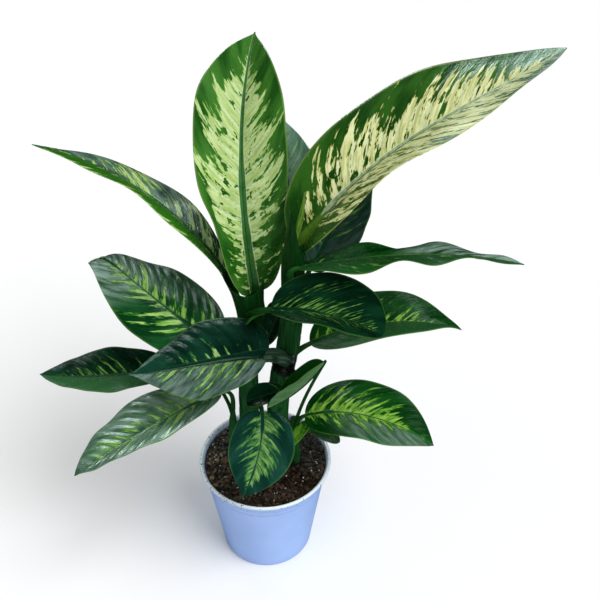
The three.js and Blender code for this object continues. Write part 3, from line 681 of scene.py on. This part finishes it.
TOPS = {
    "bright": leaf_top(
        "bright", ((0.01, 0.08, 0.005), (0.04, 0.17, 0.016), (0.03, 0.15, 0.012)),
        ((0.13, 0.32, 0.04), (0.34, 0.5, 0.14), (0.54, 0.68, 0.3)),
        (0.62, 0.76, 0.5), (0.05, 0.17, 0.045), break_up=2.1, blot=1.5,
    ),
    "cream": leaf_top(
        "cream", ((0.006, 0.055, 0.003), (0.026, 0.12, 0.008), (0.1, 0.24, 0.02)),
        ((0.36, 0.4, 0.09), (0.5, 0.55, 0.19), (0.82, 0.86, 0.46)),
        (0.74, 0.84, 0.6), (0.42, 0.55, 0.3), break_up=2.8, blot=0.8,
    ),
    "mottled": leaf_top(
        "mottled", ((0.002, 0.03, 0.014), (0.01, 0.075, 0.024), (0.022, 0.14, 0.006)),
        ((0.16, 0.36, 0.03), (0.32, 0.5, 0.14), (0.48, 0.64, 0.27)),
        (0.2, 0.36, 0.17), (0.02, 0.08, 0.02), gloss=0.35,
    ),
    "green": leaf_top(
        "green", ((0.001, 0.034, 0.003), (0.004, 0.066, 0.006), (0.02, 0.1, 0.026)),
        ((0.03, 0.15, 0.01), (0.13, 0.32, 0.025), (0.32, 0.54, 0.09)),
        (0.12, 0.3, 0.06), (0.01, 0.075, 0.018), streak=(1.3, 1.1), crisp=0.17, gloss=0.1,
    ),
    "lush": leaf_top(
        "lush", ((0.001, 0.036, 0.007), (0.005, 0.072, 0.014), (0.03, 0.11, 0.035)),
        ((0.03, 0.16, 0.015), (0.16, 0.38, 0.05), (0.36, 0.58, 0.15)),
        (0.02, 0.1, 0.03), (0.002, 0.035, 0.014), streak=(1.3, 1.1), crisp=0.17, gloss=0.25,
    ),
    "grey": leaf_top(
        "grey", ((0.012, 0.07, 0.03), (0.04, 0.14, 0.055), (0.04, 0.13, 0.05)),
        ((0.06, 0.2, 0.04), (0.17, 0.36, 0.07), (0.32, 0.52, 0.16)),
        (0.12, 0.26, 0.1), (0.02, 0.085, 0.03), streak=(1.3, 1.1), crisp=0.17, gloss=0.8,
    ),
    "teal": leaf_top(
        "teal", ((0.002, 0.028, 0.017), (0.006, 0.05, 0.034), (0.02, 0.09, 0.05)),
        ((0.03, 0.13, 0.03), (0.1, 0.26, 0.05), (0.24, 0.42, 0.13)),
        (0.06, 0.17, 0.07), (0.006, 0.05, 0.028), streak=(1.3, 1.1), crisp=0.26, gloss=0.25,
    ),
    "back": leaf_top(
        "back", ((0.03, 0.1, 0.06), (0.13, 0.24, 0.17), (0.07, 0.15, 0.1)),
        ((0.05, 0.16, 0.06), (0.12, 0.26, 0.1), (0.2, 0.36, 0.18)),
        (0.12, 0.22, 0.15), (0.04, 0.1, 0.06), streak=(1.3, 1.1), crisp=0.17, gloss=0.8,
    ),
    "dark": leaf_top(
        "dark", ((0.001, 0.018, 0.01), (0.004, 0.042, 0.022), (0.01, 0.055, 0.03)),
        ((0.02, 0.11, 0.02), (0.14, 0.32, 0.06), (0.32, 0.52, 0.17)),
        (0.02, 0.08, 0.035), (0.002, 0.028, 0.014), streak=(1.5, 1.1), crisp=0.17, gloss=0.2,
    ),
    "fine": leaf_top(
        "fine", ((0.0006, 0.012, 0.005), (0.002, 0.03, 0.011), (0.022, 0.1, 0.028)),
        ((0.012, 0.07, 0.01), (0.08, 0.22, 0.025), (0.24, 0.42, 0.1)),
        (0.015, 0.07, 0.015), (0.002, 0.03, 0.014), streak=(2.4, 1.1), crisp=0.15, gloss=0.1,
    ),
    "young": leaf_top(
        "young", ((0.03, 0.17, 0.01), (0.06, 0.27, 0.02), (0.06, 0.27, 0.02)),
        ((0.08, 0.38, 0.008), (0.14, 0.48, 0.015), (0.24, 0.6, 0.04)),
        (0.3, 0.64, 0.08), (0.06, 0.3, 0.02), break_up=1.2,
    ),
}
UNDERS = {
    "bright": leaf_under("bright", (0.025, 0.11, 0.01), (0.05, 0.16, 0.025), (0.1, 0.25, 0.06)),
    "green": leaf_under("green", (0.015, 0.092, 0.028), (0.034, 0.145, 0.052), (0.09, 0.23, 0.09)),
    "pale": leaf_under("pale", (0.055, 0.15, 0.05), (0.09, 0.2, 0.08), (0.12, 0.27, 0.1)),
    "dark": leaf_under("dark", (0.01, 0.055, 0.022), (0.025, 0.09, 0.04), (0.06, 0.16, 0.07)),
}
UNDER_OF_STYLE = {
    "bright": "bright", "cream": "bright", "young": "bright", "mottled": "green", "green": "green",
    "grey": "green", "lush": "green", "back": "dark", "teal": "dark", "dark": "dark", "fine": "dark",
}
STALKS = {
    "green": stalk("stalk_green", (0.003, 0.042, 0.006), (0.016, 0.1, 0.014), (0.0015, 0.022, 0.004)),
    "grey": stalk("stalk_grey", (0.01, 0.04, 0.02), (0.05, 0.1, 0.06), (0.006, 0.02, 0.01), gloss=0.4),
    "sheath": stalk("sheath_green", (0.0015, 0.03, 0.004), (0.008, 0.06, 0.008), (0.001, 0.018, 0.003)),
    "olive": stalk("stalk_olive", (0.02, 0.11, 0.005), (0.17, 0.3, 0.04), (0.006, 0.06, 0.004)),
    "fresh": stalk("sheath_fresh", (0.008, 0.09, 0.006), (0.04, 0.19, 0.015), (0.004, 0.045, 0.004)),
}
CANE = stalk("cane_green", (0.005, 0.058, 0.012), (0.018, 0.12, 0.028), (0.0025, 0.03, 0.006))


# ------------------------------------------------------------------ canes
def cane_axis(name, steps=14):
    run = np.array(CANES[name], float)
    points = catmull(run[:, :3], steps)
    radii = np.interp(np.linspace(0, len(run) - 1, len(points)), np.arange(len(run)), run[:, 3])
    return points, radii


def axis_at(name, z):
    points = cane_axis(name)[0]
    return points[np.argmin(np.abs(points[:, 2] - z))]


def cane_piece(name):
    points, radii = cane_axis(name)
    spacing = 26 if "cane" in name else 18
    ring = np.abs((run_of(points) / spacing) % 1 - 0.5) * 2
    radii = radii * (1 - 0.05 * (1 - smooth(ring, 0, 0.25))) + 0.35 * smooth(ring, 0.85, 1)
    verts, faces = tube(points, radii, CANE_SIDES)
    uv = tube_uv(points, np.abs(angles(CANE_SIDES) - np.pi))
    hand_over(mesh_piece(name + "_skin", verts, faces, [CANE], uv=uv), "cane", name)


# ------------------------------------------------------------------ leaves
def stalk_run(leaf):
    """Points, radii and widths of the stalk and of the rib that carries it on under the blade."""
    start = axis_at(leaf["cane"], leaf["root"])
    end = np.array(leaf["base"], float)
    tangent = frame_of(leaf, np.array([0.0]))[0][0]
    reach = leaf["arrive"] * np.linalg.norm(end - start)
    handles = np.array([start, start + np.array(leaf["out"], float), end - tangent * reach, end])
    u = np.linspace(0, 1, STALK_STEPS + 1)
    weights = np.stack([(1 - u) ** 3, 3 * u * (1 - u) ** 2, 3 * u**2 * (1 - u), u**3], -1)
    rib_end = leaf["droop"][0] if "droop" in leaf else 0.93
    rib_s = np.linspace(0, rib_end, 27)[1:]
    rib_radius = mix(leaf["stalk"][1], 0.6, np.sqrt(rib_s / rib_end)) * 0.75 + 0.15
    point, normal, _ = blade_points(leaf, rib_s, 0 * rib_s)
    rib = point + normal * (BLADE_THICKNESS / 2 - 0.15 - rib_radius)[:, None]
    radii = np.concatenate([mix(*leaf["stalk"], u), rib_radius])
    widths = np.concatenate([mix(*leaf["stalk_width"], u), np.ones(len(rib_s))])
    up = frame_of(leaf, np.array([rib_end]))[2][0]
    return np.vstack([weights @ handles, rib]), radii, widths, up


def channelled(share, angle):
    """A stalk's section: grooved along its upper side, with a low wing on each side of the groove."""
    turn = np.minimum(angle, 2 * np.pi - angle)
    depth = 0.5 * (1 - smooth(np.array(share), 0.42, 0.6)) * smooth(np.array(share), 0.02, 0.12)
    return 1 - depth * (np.exp(-((turn / 0.6) ** 2)) - 0.2 * np.exp(-(((turn - 1.0) / 0.3) ** 2)))


def leaf_fields(leaf, s, t, half, place, spacing, body, local):
    """The values that its materials read at each point of a blade."""
    reach = np.abs(t)
    between = np.abs(np.sin(np.pi * place / spacing))
    vein = (1 - smooth(between, 0.05, leaf["vein_width"])) * body
    vein = vein * smooth(reach, 0.0, 0.1) * (1 - smooth(reach, 0.8, 1))
    rib_half = mix(leaf["stalk"][1] * 0.95, 0.7, s**0.75) * leaf["rib_width"]
    rib = 1 - smooth(np.abs(half * t), rib_half * 0.85, rib_half * 1.1 + 0.2)
    sided = place + np.where(t >= 0, 0, 1000)
    spread = np.where(t >= 0, *leaf["spread"]) * (1 + 0.22 * drift(sided, spacing, local))
    streak = between**2 * (1 + 0.45 * drift(sided, spacing, local)) - 0.5
    pale = pale_share(leaf, s, t, spread) + leaf["band"] * streak * body * smooth(reach, 0, 0.15)
    if "lip" in leaf:
        pale = pale - 3 * smooth(roll_over(leaf, s, reach, t >= 0, 0 * s, half)[2], 0.0, 0.15)
    light = np.where(t >= 0, *leaf["light"]) * smooth(reach, 0.04, 0.16)
    if "rib_foot" in leaf:
        foot = 1 - smooth(np.abs(half * t) + s * 70, leaf["rib_foot"] - 1, leaf["rib_foot"] + 3)
        light = np.maximum(light, foot)
        pale = pale - 3 * foot
        rib = rib * (1 - foot)
    # Painted sheen: how strongly each half gets silvery patches that stand in for gloss highlights.
    left, right, start = leaf["bloom"]
    bloom = np.where(t >= 0, left, right) * smooth(s, start - 0.12, start + 0.1) * smooth(reach, 0.02, 0.2)
    edge = smooth(reach, 0.965, 0.985) * body
    return {"pale": pale, "vein": vein, "rib": rib, "edge": edge, "light": light, "bloom": bloom}


def leaf_piece(name, leaf, seed):
    local = np.random.default_rng(seed)
    rows = max(int(leaf["length"] / ROW_STEP), 40)
    columns = 2 * max(int(leaf["width"] / COLUMN_STEP), 9) + 1
    even = np.linspace(0, 1, rows)
    crowded = 0.5 * even + 0.25 * (1 - np.cos(np.pi * even))
    s, t = np.meshgrid(crowded, np.linspace(-1, 1, columns), indexing="ij")
    point, normal, half = blade_points(leaf, s, t)
    place = vein_place(leaf, s, t, half)
    reach = np.abs(t)
    spacing = 8 + 0.03 * leaf["length"]
    body = np.clip(half / (leaf["width"] / 2) * 1.5, 0, 1)
    between = np.abs(np.sin(np.pi * place / spacing))
    quilt = leaf["quilt"] * between**0.8 * body * smooth(reach, 0, 0.3) * (1 - smooth(reach, 0.72, 1))
    groove = 0.9 * np.exp(-((half * t / 2.6) ** 2)) * (1 - s) * leaf["stalk"][1] / 5
    waver = 0
    for _ in range(4):
        along, cross, phase = local.uniform(1.5, 5), local.uniform(-1.2, 1.2), local.uniform(0, 6.3)
        waver = waver + np.sin(2 * np.pi * (along * s + cross * t) + phase)
    waver = waver * 0.35 * body * leaf["width"] / 100 * smooth(reach, 0, 0.5)
    sheet = point + normal * (quilt - groove + waver)[..., None]
    thick = normal * BLADE_THICKNESS / 2
    sheet_verts, groups = closed_sheet(sheet + thick, sheet - thick)
    fields = leaf_fields(leaf, s, t, half, place, spacing, body, local)
    blade_uv = np.stack([place / 10 + seed * 3.7, half * t / 10 + seed * 5.1], -1).reshape(-1, 2)

    line, radii, widths, up = stalk_run(leaf)
    tube_verts, tube_faces = tube(line, radii, STALK_SIDES, up, widths, channelled)
    stalk_uv = tube_uv(line, np.abs(angles(STALK_SIDES) - np.pi) * 0.6, seed)
    faces = [list(f) for group in groups for f in group]
    faces += [[k + len(sheet_verts) for k in f] for f in tube_faces]
    slots = np.zeros(len(faces), int)
    slots[len(groups[0]) : len(groups[0]) + len(groups[1])] = 1
    slots[-len(tube_faces) :] = 2
    none = np.zeros(len(tube_verts))
    fields = {key: np.concatenate([value.ravel(), value.ravel(), none]) for key, value in fields.items()}
    under = leaf.get("under", UNDER_OF_STYLE[leaf["style"]])
    piece = mesh_piece(
        name + "_blade", np.vstack([sheet_verts, tube_verts]), faces,
        [TOPS[leaf["style"]], UNDERS[under], STALKS[leaf["stalk_look"]]],
        slots, np.vstack([blade_uv, blade_uv, stalk_uv]), fields,
    )
    hand_over(piece, leaf_slot(name), name)


def leaf_slot(name):
    if name in ("leaf_top_centre", "leaf_top_right", "leaf_young_front"):
        return "bright_leaf"
    green = (
        "top_left", "level_right", "mid_right", "low_left", "low_right", "front_low", "folded", "young_right",
    )
    return "green_leaf" if name.removeprefix("leaf_") in green else "dark_leaf"


# ------------------------------------------------------------------ pot
def outer_radius(z):
    return mix(POT_BASE_RADIUS, POT_SHOULDER_RADIUS, z / POT_SHOULDER_Z)


def inner_radius(z):
    return outer_radius(z) - POT_WALL


def lathe(profile, sides):
    """Vertices and faces of a body turned about Z from (radius, z) points, whose ends lie on the axis."""
    (_, bottom), *rings, (_, top) = profile
    verts = np.vstack([level_ring(*ring, sides) for ring in rings] + [[[0, 0, bottom]], [[0, 0, top]]])
    return verts, closed_faces(len(rings), sides)


def pot_piece():
    lip = [
        (POT_RIM_RADIUS - 1.8 + 1.8 * math.cos(a), POT_HEIGHT - 2.2 + 2.2 * math.sin(a))
        for a in np.radians(np.linspace(-80, 90, 10))
    ]
    profile = [
        (0, 0), (20, 0), (40, 0), (POT_BASE_RADIUS - 2.2, 0), (POT_BASE_RADIUS - 0.7, 0.5),
        (POT_BASE_RADIUS, 1.6), *[(outer_radius(z), z) for z in np.linspace(3, 137, 12)],
        (POT_SHOULDER_RADIUS, POT_SHOULDER_Z), (POT_SHOULDER_RADIUS + 0.9, POT_SHOULDER_Z + 0.4),
        (POT_BAND_RADIUS - 0.3, POT_SHOULDER_Z + 1.2), (POT_BAND_RADIUS + 0.6, POT_SHOULDER_Z + 5),
        (POT_BAND_RADIUS + 1.2, POT_HEIGHT - 5), (POT_BAND_RADIUS + 2, POT_HEIGHT - 4.4),
        *lip,
        (POT_RIM_RADIUS - 3.4, POT_HEIGHT - 0.3), (POT_BAND_RADIUS - 0.4, POT_HEIGHT - 2),
        (inner_radius(POT_SHOULDER_Z) + POT_STEP_OUT, POT_SHOULDER_Z + POT_STEP_UP),
        *[(inner_radius(z), z) for z in np.linspace(POT_SHOULDER_Z, POT_FLOOR + 1, 8)],
        (inner_radius(POT_FLOOR) - 1, POT_FLOOR), (0, POT_FLOOR),
    ]
    verts, faces = lathe(profile, POT_SIDES)
    g = Graph("pot_blue_plastic")
    place = g.place()
    broad = g.noise(place, 14.0, 3.0)
    colour = g.blend(g.step(broad, 0.3, 0.7), (0.355, 0.525, 0.93), (0.405, 0.575, 0.99))
    specks = g.noise(place, 420.0, 1.0, 0.5)
    split = g.node("ShaderNodeSeparateXYZ", {"Vector": place}).outputs
    height = split["Z"]
    # Painted light: the lip and the rim's inner side are a lighter blue than the body, as where light falls
    # on the rim.
    lit_lip_share = g.step(height, 0.1465, 0.148)
    colour = g.blend(lit_lip_share, colour, (0.62, 0.75, 0.93))
    # Painted highlight: the top face of the rim turned almost white, where light catches it.
    rim_top_highlight = g.step(height, 0.1508, 0.1518)
    colour = g.blend(rim_top_highlight, colour, (0.85, 0.94, 0.98))
    # Painted shade: a thin dark line round the wall below the band, standing in for the shade of the
    # shoulder's step.
    off_shoulder_line = g.maths("ABSOLUTE", g.maths("SUBTRACT", height, 0.128))
    shoulder_shade_line = g.maths("SUBTRACT", 1.0, g.step(off_shoulder_line, 0.0003, 0.0011))
    colour = g.tint(colour, shoulder_shade_line, 0.45, (0.16, 0.23, 0.5))
    left_side = g.step(g.maths("MULTIPLY", split["X"], -1.0), 0.0, 0.05)
    spill = g.maths("MULTIPLY", left_side, g.step(height, 0.138, 0.15))
    dirt = g.step(g.maths("MULTIPLY_ADD", spill, 0.06, specks), 0.7, 0.725)
    dirt = g.maths("MULTIPLY", dirt, g.step(height, 0.11, 0.14))
    colour = g.blend(dirt, colour, (0.03, 0.03, 0.035))
    scuff = g.noise(place, 60.0, 4.0, 0.6, (1.0, 1.0, 0.25))
    rough = g.maths("MULTIPLY_ADD", scuff, 0.3, 0.22)
    material = g.finish(colour, rough, g.noise(place, 180.0, 3.0), depth=0.0003, strength=0.25)
    blank = mesh_piece("pot_blank", verts, faces, [material])
    cutters = []
    for k in range(DRAIN_HOLES):
        turn = 2 * math.pi * k / DRAIN_HOLES
        centre = np.array([DRAIN_CIRCLE * math.cos(turn), DRAIN_CIRCLE * math.sin(turn), 0])
        hole, hole_faces = tube([centre + [0, 0, z] for z in (-5, 0, 5, 10)], [DRAIN_RADIUS] * 4, 24)
        cutters.append(mesh_piece(f"cutter_{k}", hole, hole_faces, [material]))
        cut = blank.modifiers.new(f"hole_{k}", "BOOLEAN")
        cut.operation = "DIFFERENCE"
        cut.object = cutters[-1]
    bpy.context.view_layer.update()
    made = bpy.data.meshes.new_from_object(blank.evaluated_get(bpy.context.evaluated_depsgraph_get()))
    for spare in [blank, *cutters]:
        bpy.data.objects.remove(spare)
    hand_over(add_object("pot_shell", made), "pot_plastic", "pot")


# ------------------------------------------------------------------ soil
def soil_height(x, y):
    """The soil's surface, in millimetres, heaped a little in the middle and rough all over."""
    radius = min(math.hypot(x, y) / SOIL_EDGE_RADIUS, 1)
    rough = 1.8 * noise.noise(Vector((x / 9, y / 9, 3.1))) + noise.noise(Vector((x / 3.5, y / 3.5, 7.7)))
    return SOIL_TOP - 1 + SOIL_MOUND * (1 - radius) + rough * (1 - 0.6 * radius**4)


def soil_piece():
    buried = [
        (inner_radius(POT_FLOOR), POT_FLOOR + GAP), (inner_radius(60), 60),
        (inner_radius(POT_SHOULDER_Z), POT_SHOULDER_Z),
        (inner_radius(POT_SHOULDER_Z) + POT_STEP_OUT, POT_SHOULDER_Z + POT_STEP_UP),
    ]
    rings = [level_ring(radius - GAP, z, SOIL_SIDES) for radius, z in buried]
    for radius in np.linspace(SOIL_EDGE_RADIUS, 1.5, 44):
        rings.append(np.array([(x, y, soil_height(x, y)) for x, y, _ in level_ring(radius, 0.0, SOIL_SIDES)]))
    verts = np.vstack(rings + [[[0, 0, POT_FLOOR + GAP]], [[0, 0, soil_height(0, 0)]]])
    faces = closed_faces(len(rings), SOIL_SIDES)
    g = Graph("soil_peat")
    place = g.place()
    grain = g.noise(place, 260.0, 4.0, 0.65)
    colour = g.blend(g.step(grain, 0.38, 0.62), (0.008, 0.005, 0.003), (0.045, 0.026, 0.015))
    material = g.finish(colour, 0.95, grain, depth=0.002, strength=1.0)
    hand_over(mesh_piece("soil_bed", verts, faces, [material]), "potting_soil", "soil")


def ball(subdivisions):
    """Points and triangles of a unit ball."""
    made = bmesh.new()
    bmesh.ops.create_icosphere(made, subdivisions=subdivisions, radius=1.0)
    points = np.array([v.co[:] for v in made.verts])
    triangles = np.array([[v.index for v in f.verts] for f in made.faces])
    made.free()
    return points, triangles


def crumbs_piece():
    """Peat crumbs, bark bits and perlite lying on the soil, as one mesh."""
    shape, sides = ball(1)
    stems = [(run[1][0], run[1][1], run[1][3]) for run in CANES.values()]
    verts, faces, tint = [], [], []
    while len(verts) < CRUMBS:
        radius, turn = (SOIL_EDGE_RADIUS - 1.5) * math.sqrt(rng.uniform()), rng.uniform(0, 2 * math.pi)
        x, y = radius * math.cos(turn), radius * math.sin(turn)
        if any(math.hypot(x - a, y - b) < r + 1.5 for a, b, r in stems):
            continue
        kind = rng.uniform()
        peat, perlite = kind < 0.7, kind > 0.93
        size = rng.uniform(0.8, 2.6) if peat else rng.uniform(1.0, 3.2)
        if perlite:
            size = rng.uniform(0.6, 1.7)
        stretch = rng.uniform(0.6, 1.3, 3) if peat or perlite else rng.uniform(0.4, 1.5, 3)
        knobbly = 1 + 0.25 * rng.standard_normal((len(shape), 1)).clip(-1.5, 1.5)
        blob = shape * knobbly * stretch * size
        a, b = rng.uniform(0, 2 * math.pi, 2)
        turn_z = np.array([[math.cos(a), -math.sin(a), 0], [math.sin(a), math.cos(a), 0], [0, 0, 1]])
        turn_x = np.array([[1, 0, 0], [0, math.cos(b), -math.sin(b)], [0, math.sin(b), math.cos(b)]])
        blob = blob @ turn_x.T @ turn_z.T
        faces.append(sides + len(verts) * len(shape))
        verts.append(blob + [x, y, soil_height(x, y) + 0.3 * size])
        shade = rng.uniform(0.0, 0.75) ** 2 if peat else rng.uniform(0.4, 0.8)
        # The crumbs get darker towards the front and the right.
        front_right_darkening = float(smooth(x - y, -20, 45))
        tint.append(np.full(len(shape), 1.0 if perlite else shade * (1 - 0.5 * front_right_darkening)))
    g = Graph("soil_crumbs")
    ramp = g.node("ShaderNodeValToRGB", {"Fac": g.field("tint")})
    stops = ramp.color_ramp.elements
    stops[0].position, stops[0].color = 0.0, (0.008, 0.005, 0.003, 1)
    stops[1].position, stops[1].color = 1.0, (0.75, 0.73, 0.66, 1)
    for where, shade in ((0.3, (0.06, 0.038, 0.022)), (0.65, (0.22, 0.13, 0.065)), (0.8, (0.36, 0.28, 0.18))):
        stops.new(where).color = (*shade, 1)
    place = g.place()
    grain = g.noise(place, 700.0, 3.0, 0.6)
    colour = g.blend(g.step(grain, 0.35, 0.65), (0.55, 0.5, 0.45), (1, 1, 1))
    colour = g.blend(1.0, ramp.outputs["Color"], colour, "MULTIPLY")
    material = g.finish(colour, 0.9, grain, depth=0.0005, strength=0.8)
    piece = mesh_piece(
        "soil_crumbs", np.vstack(verts), np.vstack(faces), [material], fields={"tint": np.concatenate(tint)},
        smooth_faces=False,
    )
    hand_over(piece, "potting_soil")


# ------------------------------------------------------------------ the rolled leaf
def rolled_piece():
    run = np.array(ROLLED_LEAF, float)
    points = catmull(run[:, :3], 10)
    radii = np.interp(np.linspace(0, len(run) - 1, len(points)), np.arange(len(run)), run[:, 3])

    def wrap(share, angle):
        return 1 - 0.22 * ((angle / (2 * np.pi) + share * 0.35) % 1)

    verts, faces = tube(points, radii, ROLLED_SIDES, shape=wrap)
    uv = tube_uv(points, angles(ROLLED_SIDES) * 0.5)
    piece = mesh_piece("rolled_leaf_skin", verts, faces, [STALKS["olive"]], uv=uv)
    hand_over(piece, "bright_leaf", "rolled_leaf")


# ------------------------------------------------------------------ sheaths
def sheet_piece(name, sheet, normal, material):
    """A thin closed sheet with its streaks running along its rows."""
    thick = normal * BLADE_THICKNESS / 2
    verts, groups = closed_sheet(sheet + thick, sheet - thick)
    rows, columns = sheet.shape[:2]
    along = run_of(sheet[:, columns // 2])
    across = run_of(sheet[rows // 2])
    uv = np.stack(np.broadcast_arrays(along[:, None] / 10, across / 10), -1).reshape(-1, 2)
    faces = [f for group in groups for f in group]
    hand_over(mesh_piece(name, verts, faces, [material], uv=np.vstack([uv, uv])), "cane")


def stalk_sheath(name, half_width, start, end, look, curl=0.5, rows=26, columns=17):
    """The broad foot of a stalk: a shallow trough that wraps it from below and runs out along it.

    start and end are shares of the stalk's length; with curl below 0 the trough opens downwards.
    """
    line, radii, _, up = stalk_run(LEAVES[name])
    ups, others = frames_along(line, up)
    share = np.linspace(start, end, rows)
    index = share * STALK_STEPS
    centre, ups, others = (
        np.stack([np.interp(index, np.arange(len(line)), values[:, k]) for k in range(3)], -1)
        for values in (line, ups, others)
    )
    radius = np.interp(index, np.arange(len(line)), radii)
    t = np.linspace(-1, 1, columns)
    run = (share - start) / (end - start)
    half = (half_width * (1 - 0.8 * smooth(run, 0.45, 1)))[:, None]
    lift = half * curl * t**2 - (radius * 0.75)[:, None] + 0.5 * np.sin(run * 9 + 1)[:, None] * np.abs(t) ** 3
    sheet = centre[:, None] + others[:, None] * (half * t)[..., None] + ups[:, None] * lift[..., None]
    normal = unit(ups[:, None] - others[:, None] * np.broadcast_to(t * 2 * curl, lift.shape)[..., None])
    sheet_piece(name + "_sheath", sheet, normal, STALKS[look])


def crown_sheath(name, path, turns, tips, shoulder, look, rows=34, columns=40):
    """A sheath wrapped part way round a crown.

    path is its axis as x, y, z and radius, turns the angles it spans, and tips the angle,
    height and width of each point it rises to; elsewhere it stops at the shoulder's share.
    """
    axis = catmull(path, 8)
    turn = np.radians(np.linspace(*turns, columns))
    top = np.full(columns, shoulder)
    for angle, height, width in tips:
        rise = np.exp(-(((np.degrees(turn) - angle) / width) ** 2))
        top = np.maximum(top, shoulder + (height - shoulder) * rise)
    u = np.linspace(0, 1, rows)[:, None] * top * (len(axis) - 1)
    x, y, z, radius = (np.interp(u, np.arange(len(axis)), axis[:, k]) for k in range(4))
    radius = radius + 0.5 * np.sin(3 * turn + u * 0.3)
    out = np.stack(np.broadcast_arrays(np.cos(turn), np.sin(turn), 0 * u), -1)
    sheet_piece(name, np.stack([x, y, z], -1) + out * radius[..., None], out, STALKS[look])


def collar_piece():
    """The dead, crumpled sheath where the front left leaf's stalk leaves the right cane."""
    shape, faces = ball(4)
    folds = np.array([
        noise.noise(Vector(p * (1.6, 1.6, 2.6))) * 0.38 + abs(noise.noise(Vector(p * (4, 4, 7)))) * 0.3
        for p in shape
    ])
    verts = shape * (0.86 + folds)[:, None] * COLLAR_SIZE + COLLAR_PLACE
    g = Graph("sheath_dead")
    place = g.place()
    shade = g.noise(place, 130.0, 4.0, 0.65)
    colour = g.blend(g.step(shade, 0.42, 0.66), (0.002, 0.004, 0.002), (0.03, 0.04, 0.028))
    material = g.finish(colour, 0.4, shade, depth=0.002, strength=0.9)
    hand_over(mesh_piece("dead_sheath", verts, faces, [material]), "cane")


pot_piece()
soil_piece()
crumbs_piece()
for cane_name in CANES:
    cane_piece(cane_name)
for number, (leaf_name, leaf_values) in enumerate(LEAVES.items(), 1):
    leaf_piece(leaf_name, leaf_values, number)
rolled_piece()
stalk_sheath("leaf_top_left", 13, 0.02, 0.98, "sheath")
stalk_sheath("leaf_top_centre", 14, 0.0, 1.12, "sheath")
stalk_sheath("leaf_front_right", 11, 0.2, 0.9, "fresh", curl=-0.4)
crown_sheath("crown_sheath_right", SHEATH_RIGHT, (75, 318), [(215, 1.0, 62)], 0.6, "sheath")
crown_sheath("crown_sheath_left", SHEATH_LEFT, (150, 372), [(180, 1.0, 48), (352, 0.92, 34)], 0.77, "sheath")
collar_piece()


# ------------------------------------------------------------------ floor, light and camera
WINDOW_TARGET = (0, 0, 0.4)
WINDOW_DISTANCE = 3.0
WINDOW_COLOUR = (0.78, 1, 0.93)
SUN_WAY = (-0.62, 0.42, -1.0)
SUN_WIDTH = 42  # degrees
SUN_ENERGY = 2.5
WORLD_STRENGTH = 0.56
CAMERA_PLACE = (0.045, -0.828, 1.085)
CAMERA_PITCH_DOWN = 39.05  # degrees
CAMERA_SENSOR = 36  # millimetres, as is the lens
CAMERA_LENS = 57


def floor_plane():
    mesh = bpy.data.meshes.new("floor")
    mesh.from_pydata([(-6, -4, 0), (6, -4, 0), (6, 8, 0), (-6, 8, 0)], [], [(0, 1, 2, 3)])
    floor = add_object("floor", mesh)
    g = Graph("floor_white")
    tone = g.noise(g.place(), 1.2, 2.0)
    colour = g.blend(g.step(tone, 0.3, 0.7), (0.86, 0.86, 0.87), (0.88, 0.88, 0.88))
    mesh.materials.append(g.finish(colour, 0.8))
    floor.visible_glossy = False


def gloss_window(name, way, size, power):
    """A window that shows only as gloss on the leaves, so it casts no light or shadow on the floor."""
    lamp = bpy.data.lights.new(name, "AREA")
    lamp.shape = "DISK"
    lamp.size = size
    lamp.energy = power
    lamp.color = WINDOW_COLOUR
    target = Vector(WINDOW_TARGET)
    place = target + Vector(way).normalized() * WINDOW_DISTANCE
    holder = add_object(name, lamp, place)
    holder.rotation_euler = (target - place).to_track_quat("-Z", "Y").to_euler()
    holder.visible_diffuse = False


floor_plane()
sun = bpy.data.lights.new("sun", "SUN")
sun.angle = math.radians(SUN_WIDTH)
sun.energy = SUN_ENERGY
sun_holder = add_object("sun", sun)
sun_holder.rotation_euler = Vector(SUN_WAY).to_track_quat("-Z", "Y").to_euler()
sun_holder.visible_glossy = False
gloss_window("window_left", (-0.42, 0.6, 0.68), 0.8, 60)
gloss_window("window_right", (0.52, 0.5, 0.7), 0.7, 40)

world = bpy.data.worlds.new("studio")
bpy.context.scene.world = world
world.use_nodes = True
background = world.node_tree.nodes["Background"].inputs
background["Color"].default_value = (1, 1, 1, 1)
background["Strength"].default_value = WORLD_STRENGTH
world.cycles_visibility.glossy = False

camera_data = bpy.data.cameras.new("camera")
camera_data.sensor_width = CAMERA_SENSOR
camera_data.lens = CAMERA_LENS
camera = add_object("camera", camera_data, CAMERA_PLACE)
camera.rotation_euler = (math.radians(90 - CAMERA_PITCH_DOWN), 0, 0)
bpy.context.scene.camera = camera
bpy.context.scene.view_settings.view_transform = "Standard"
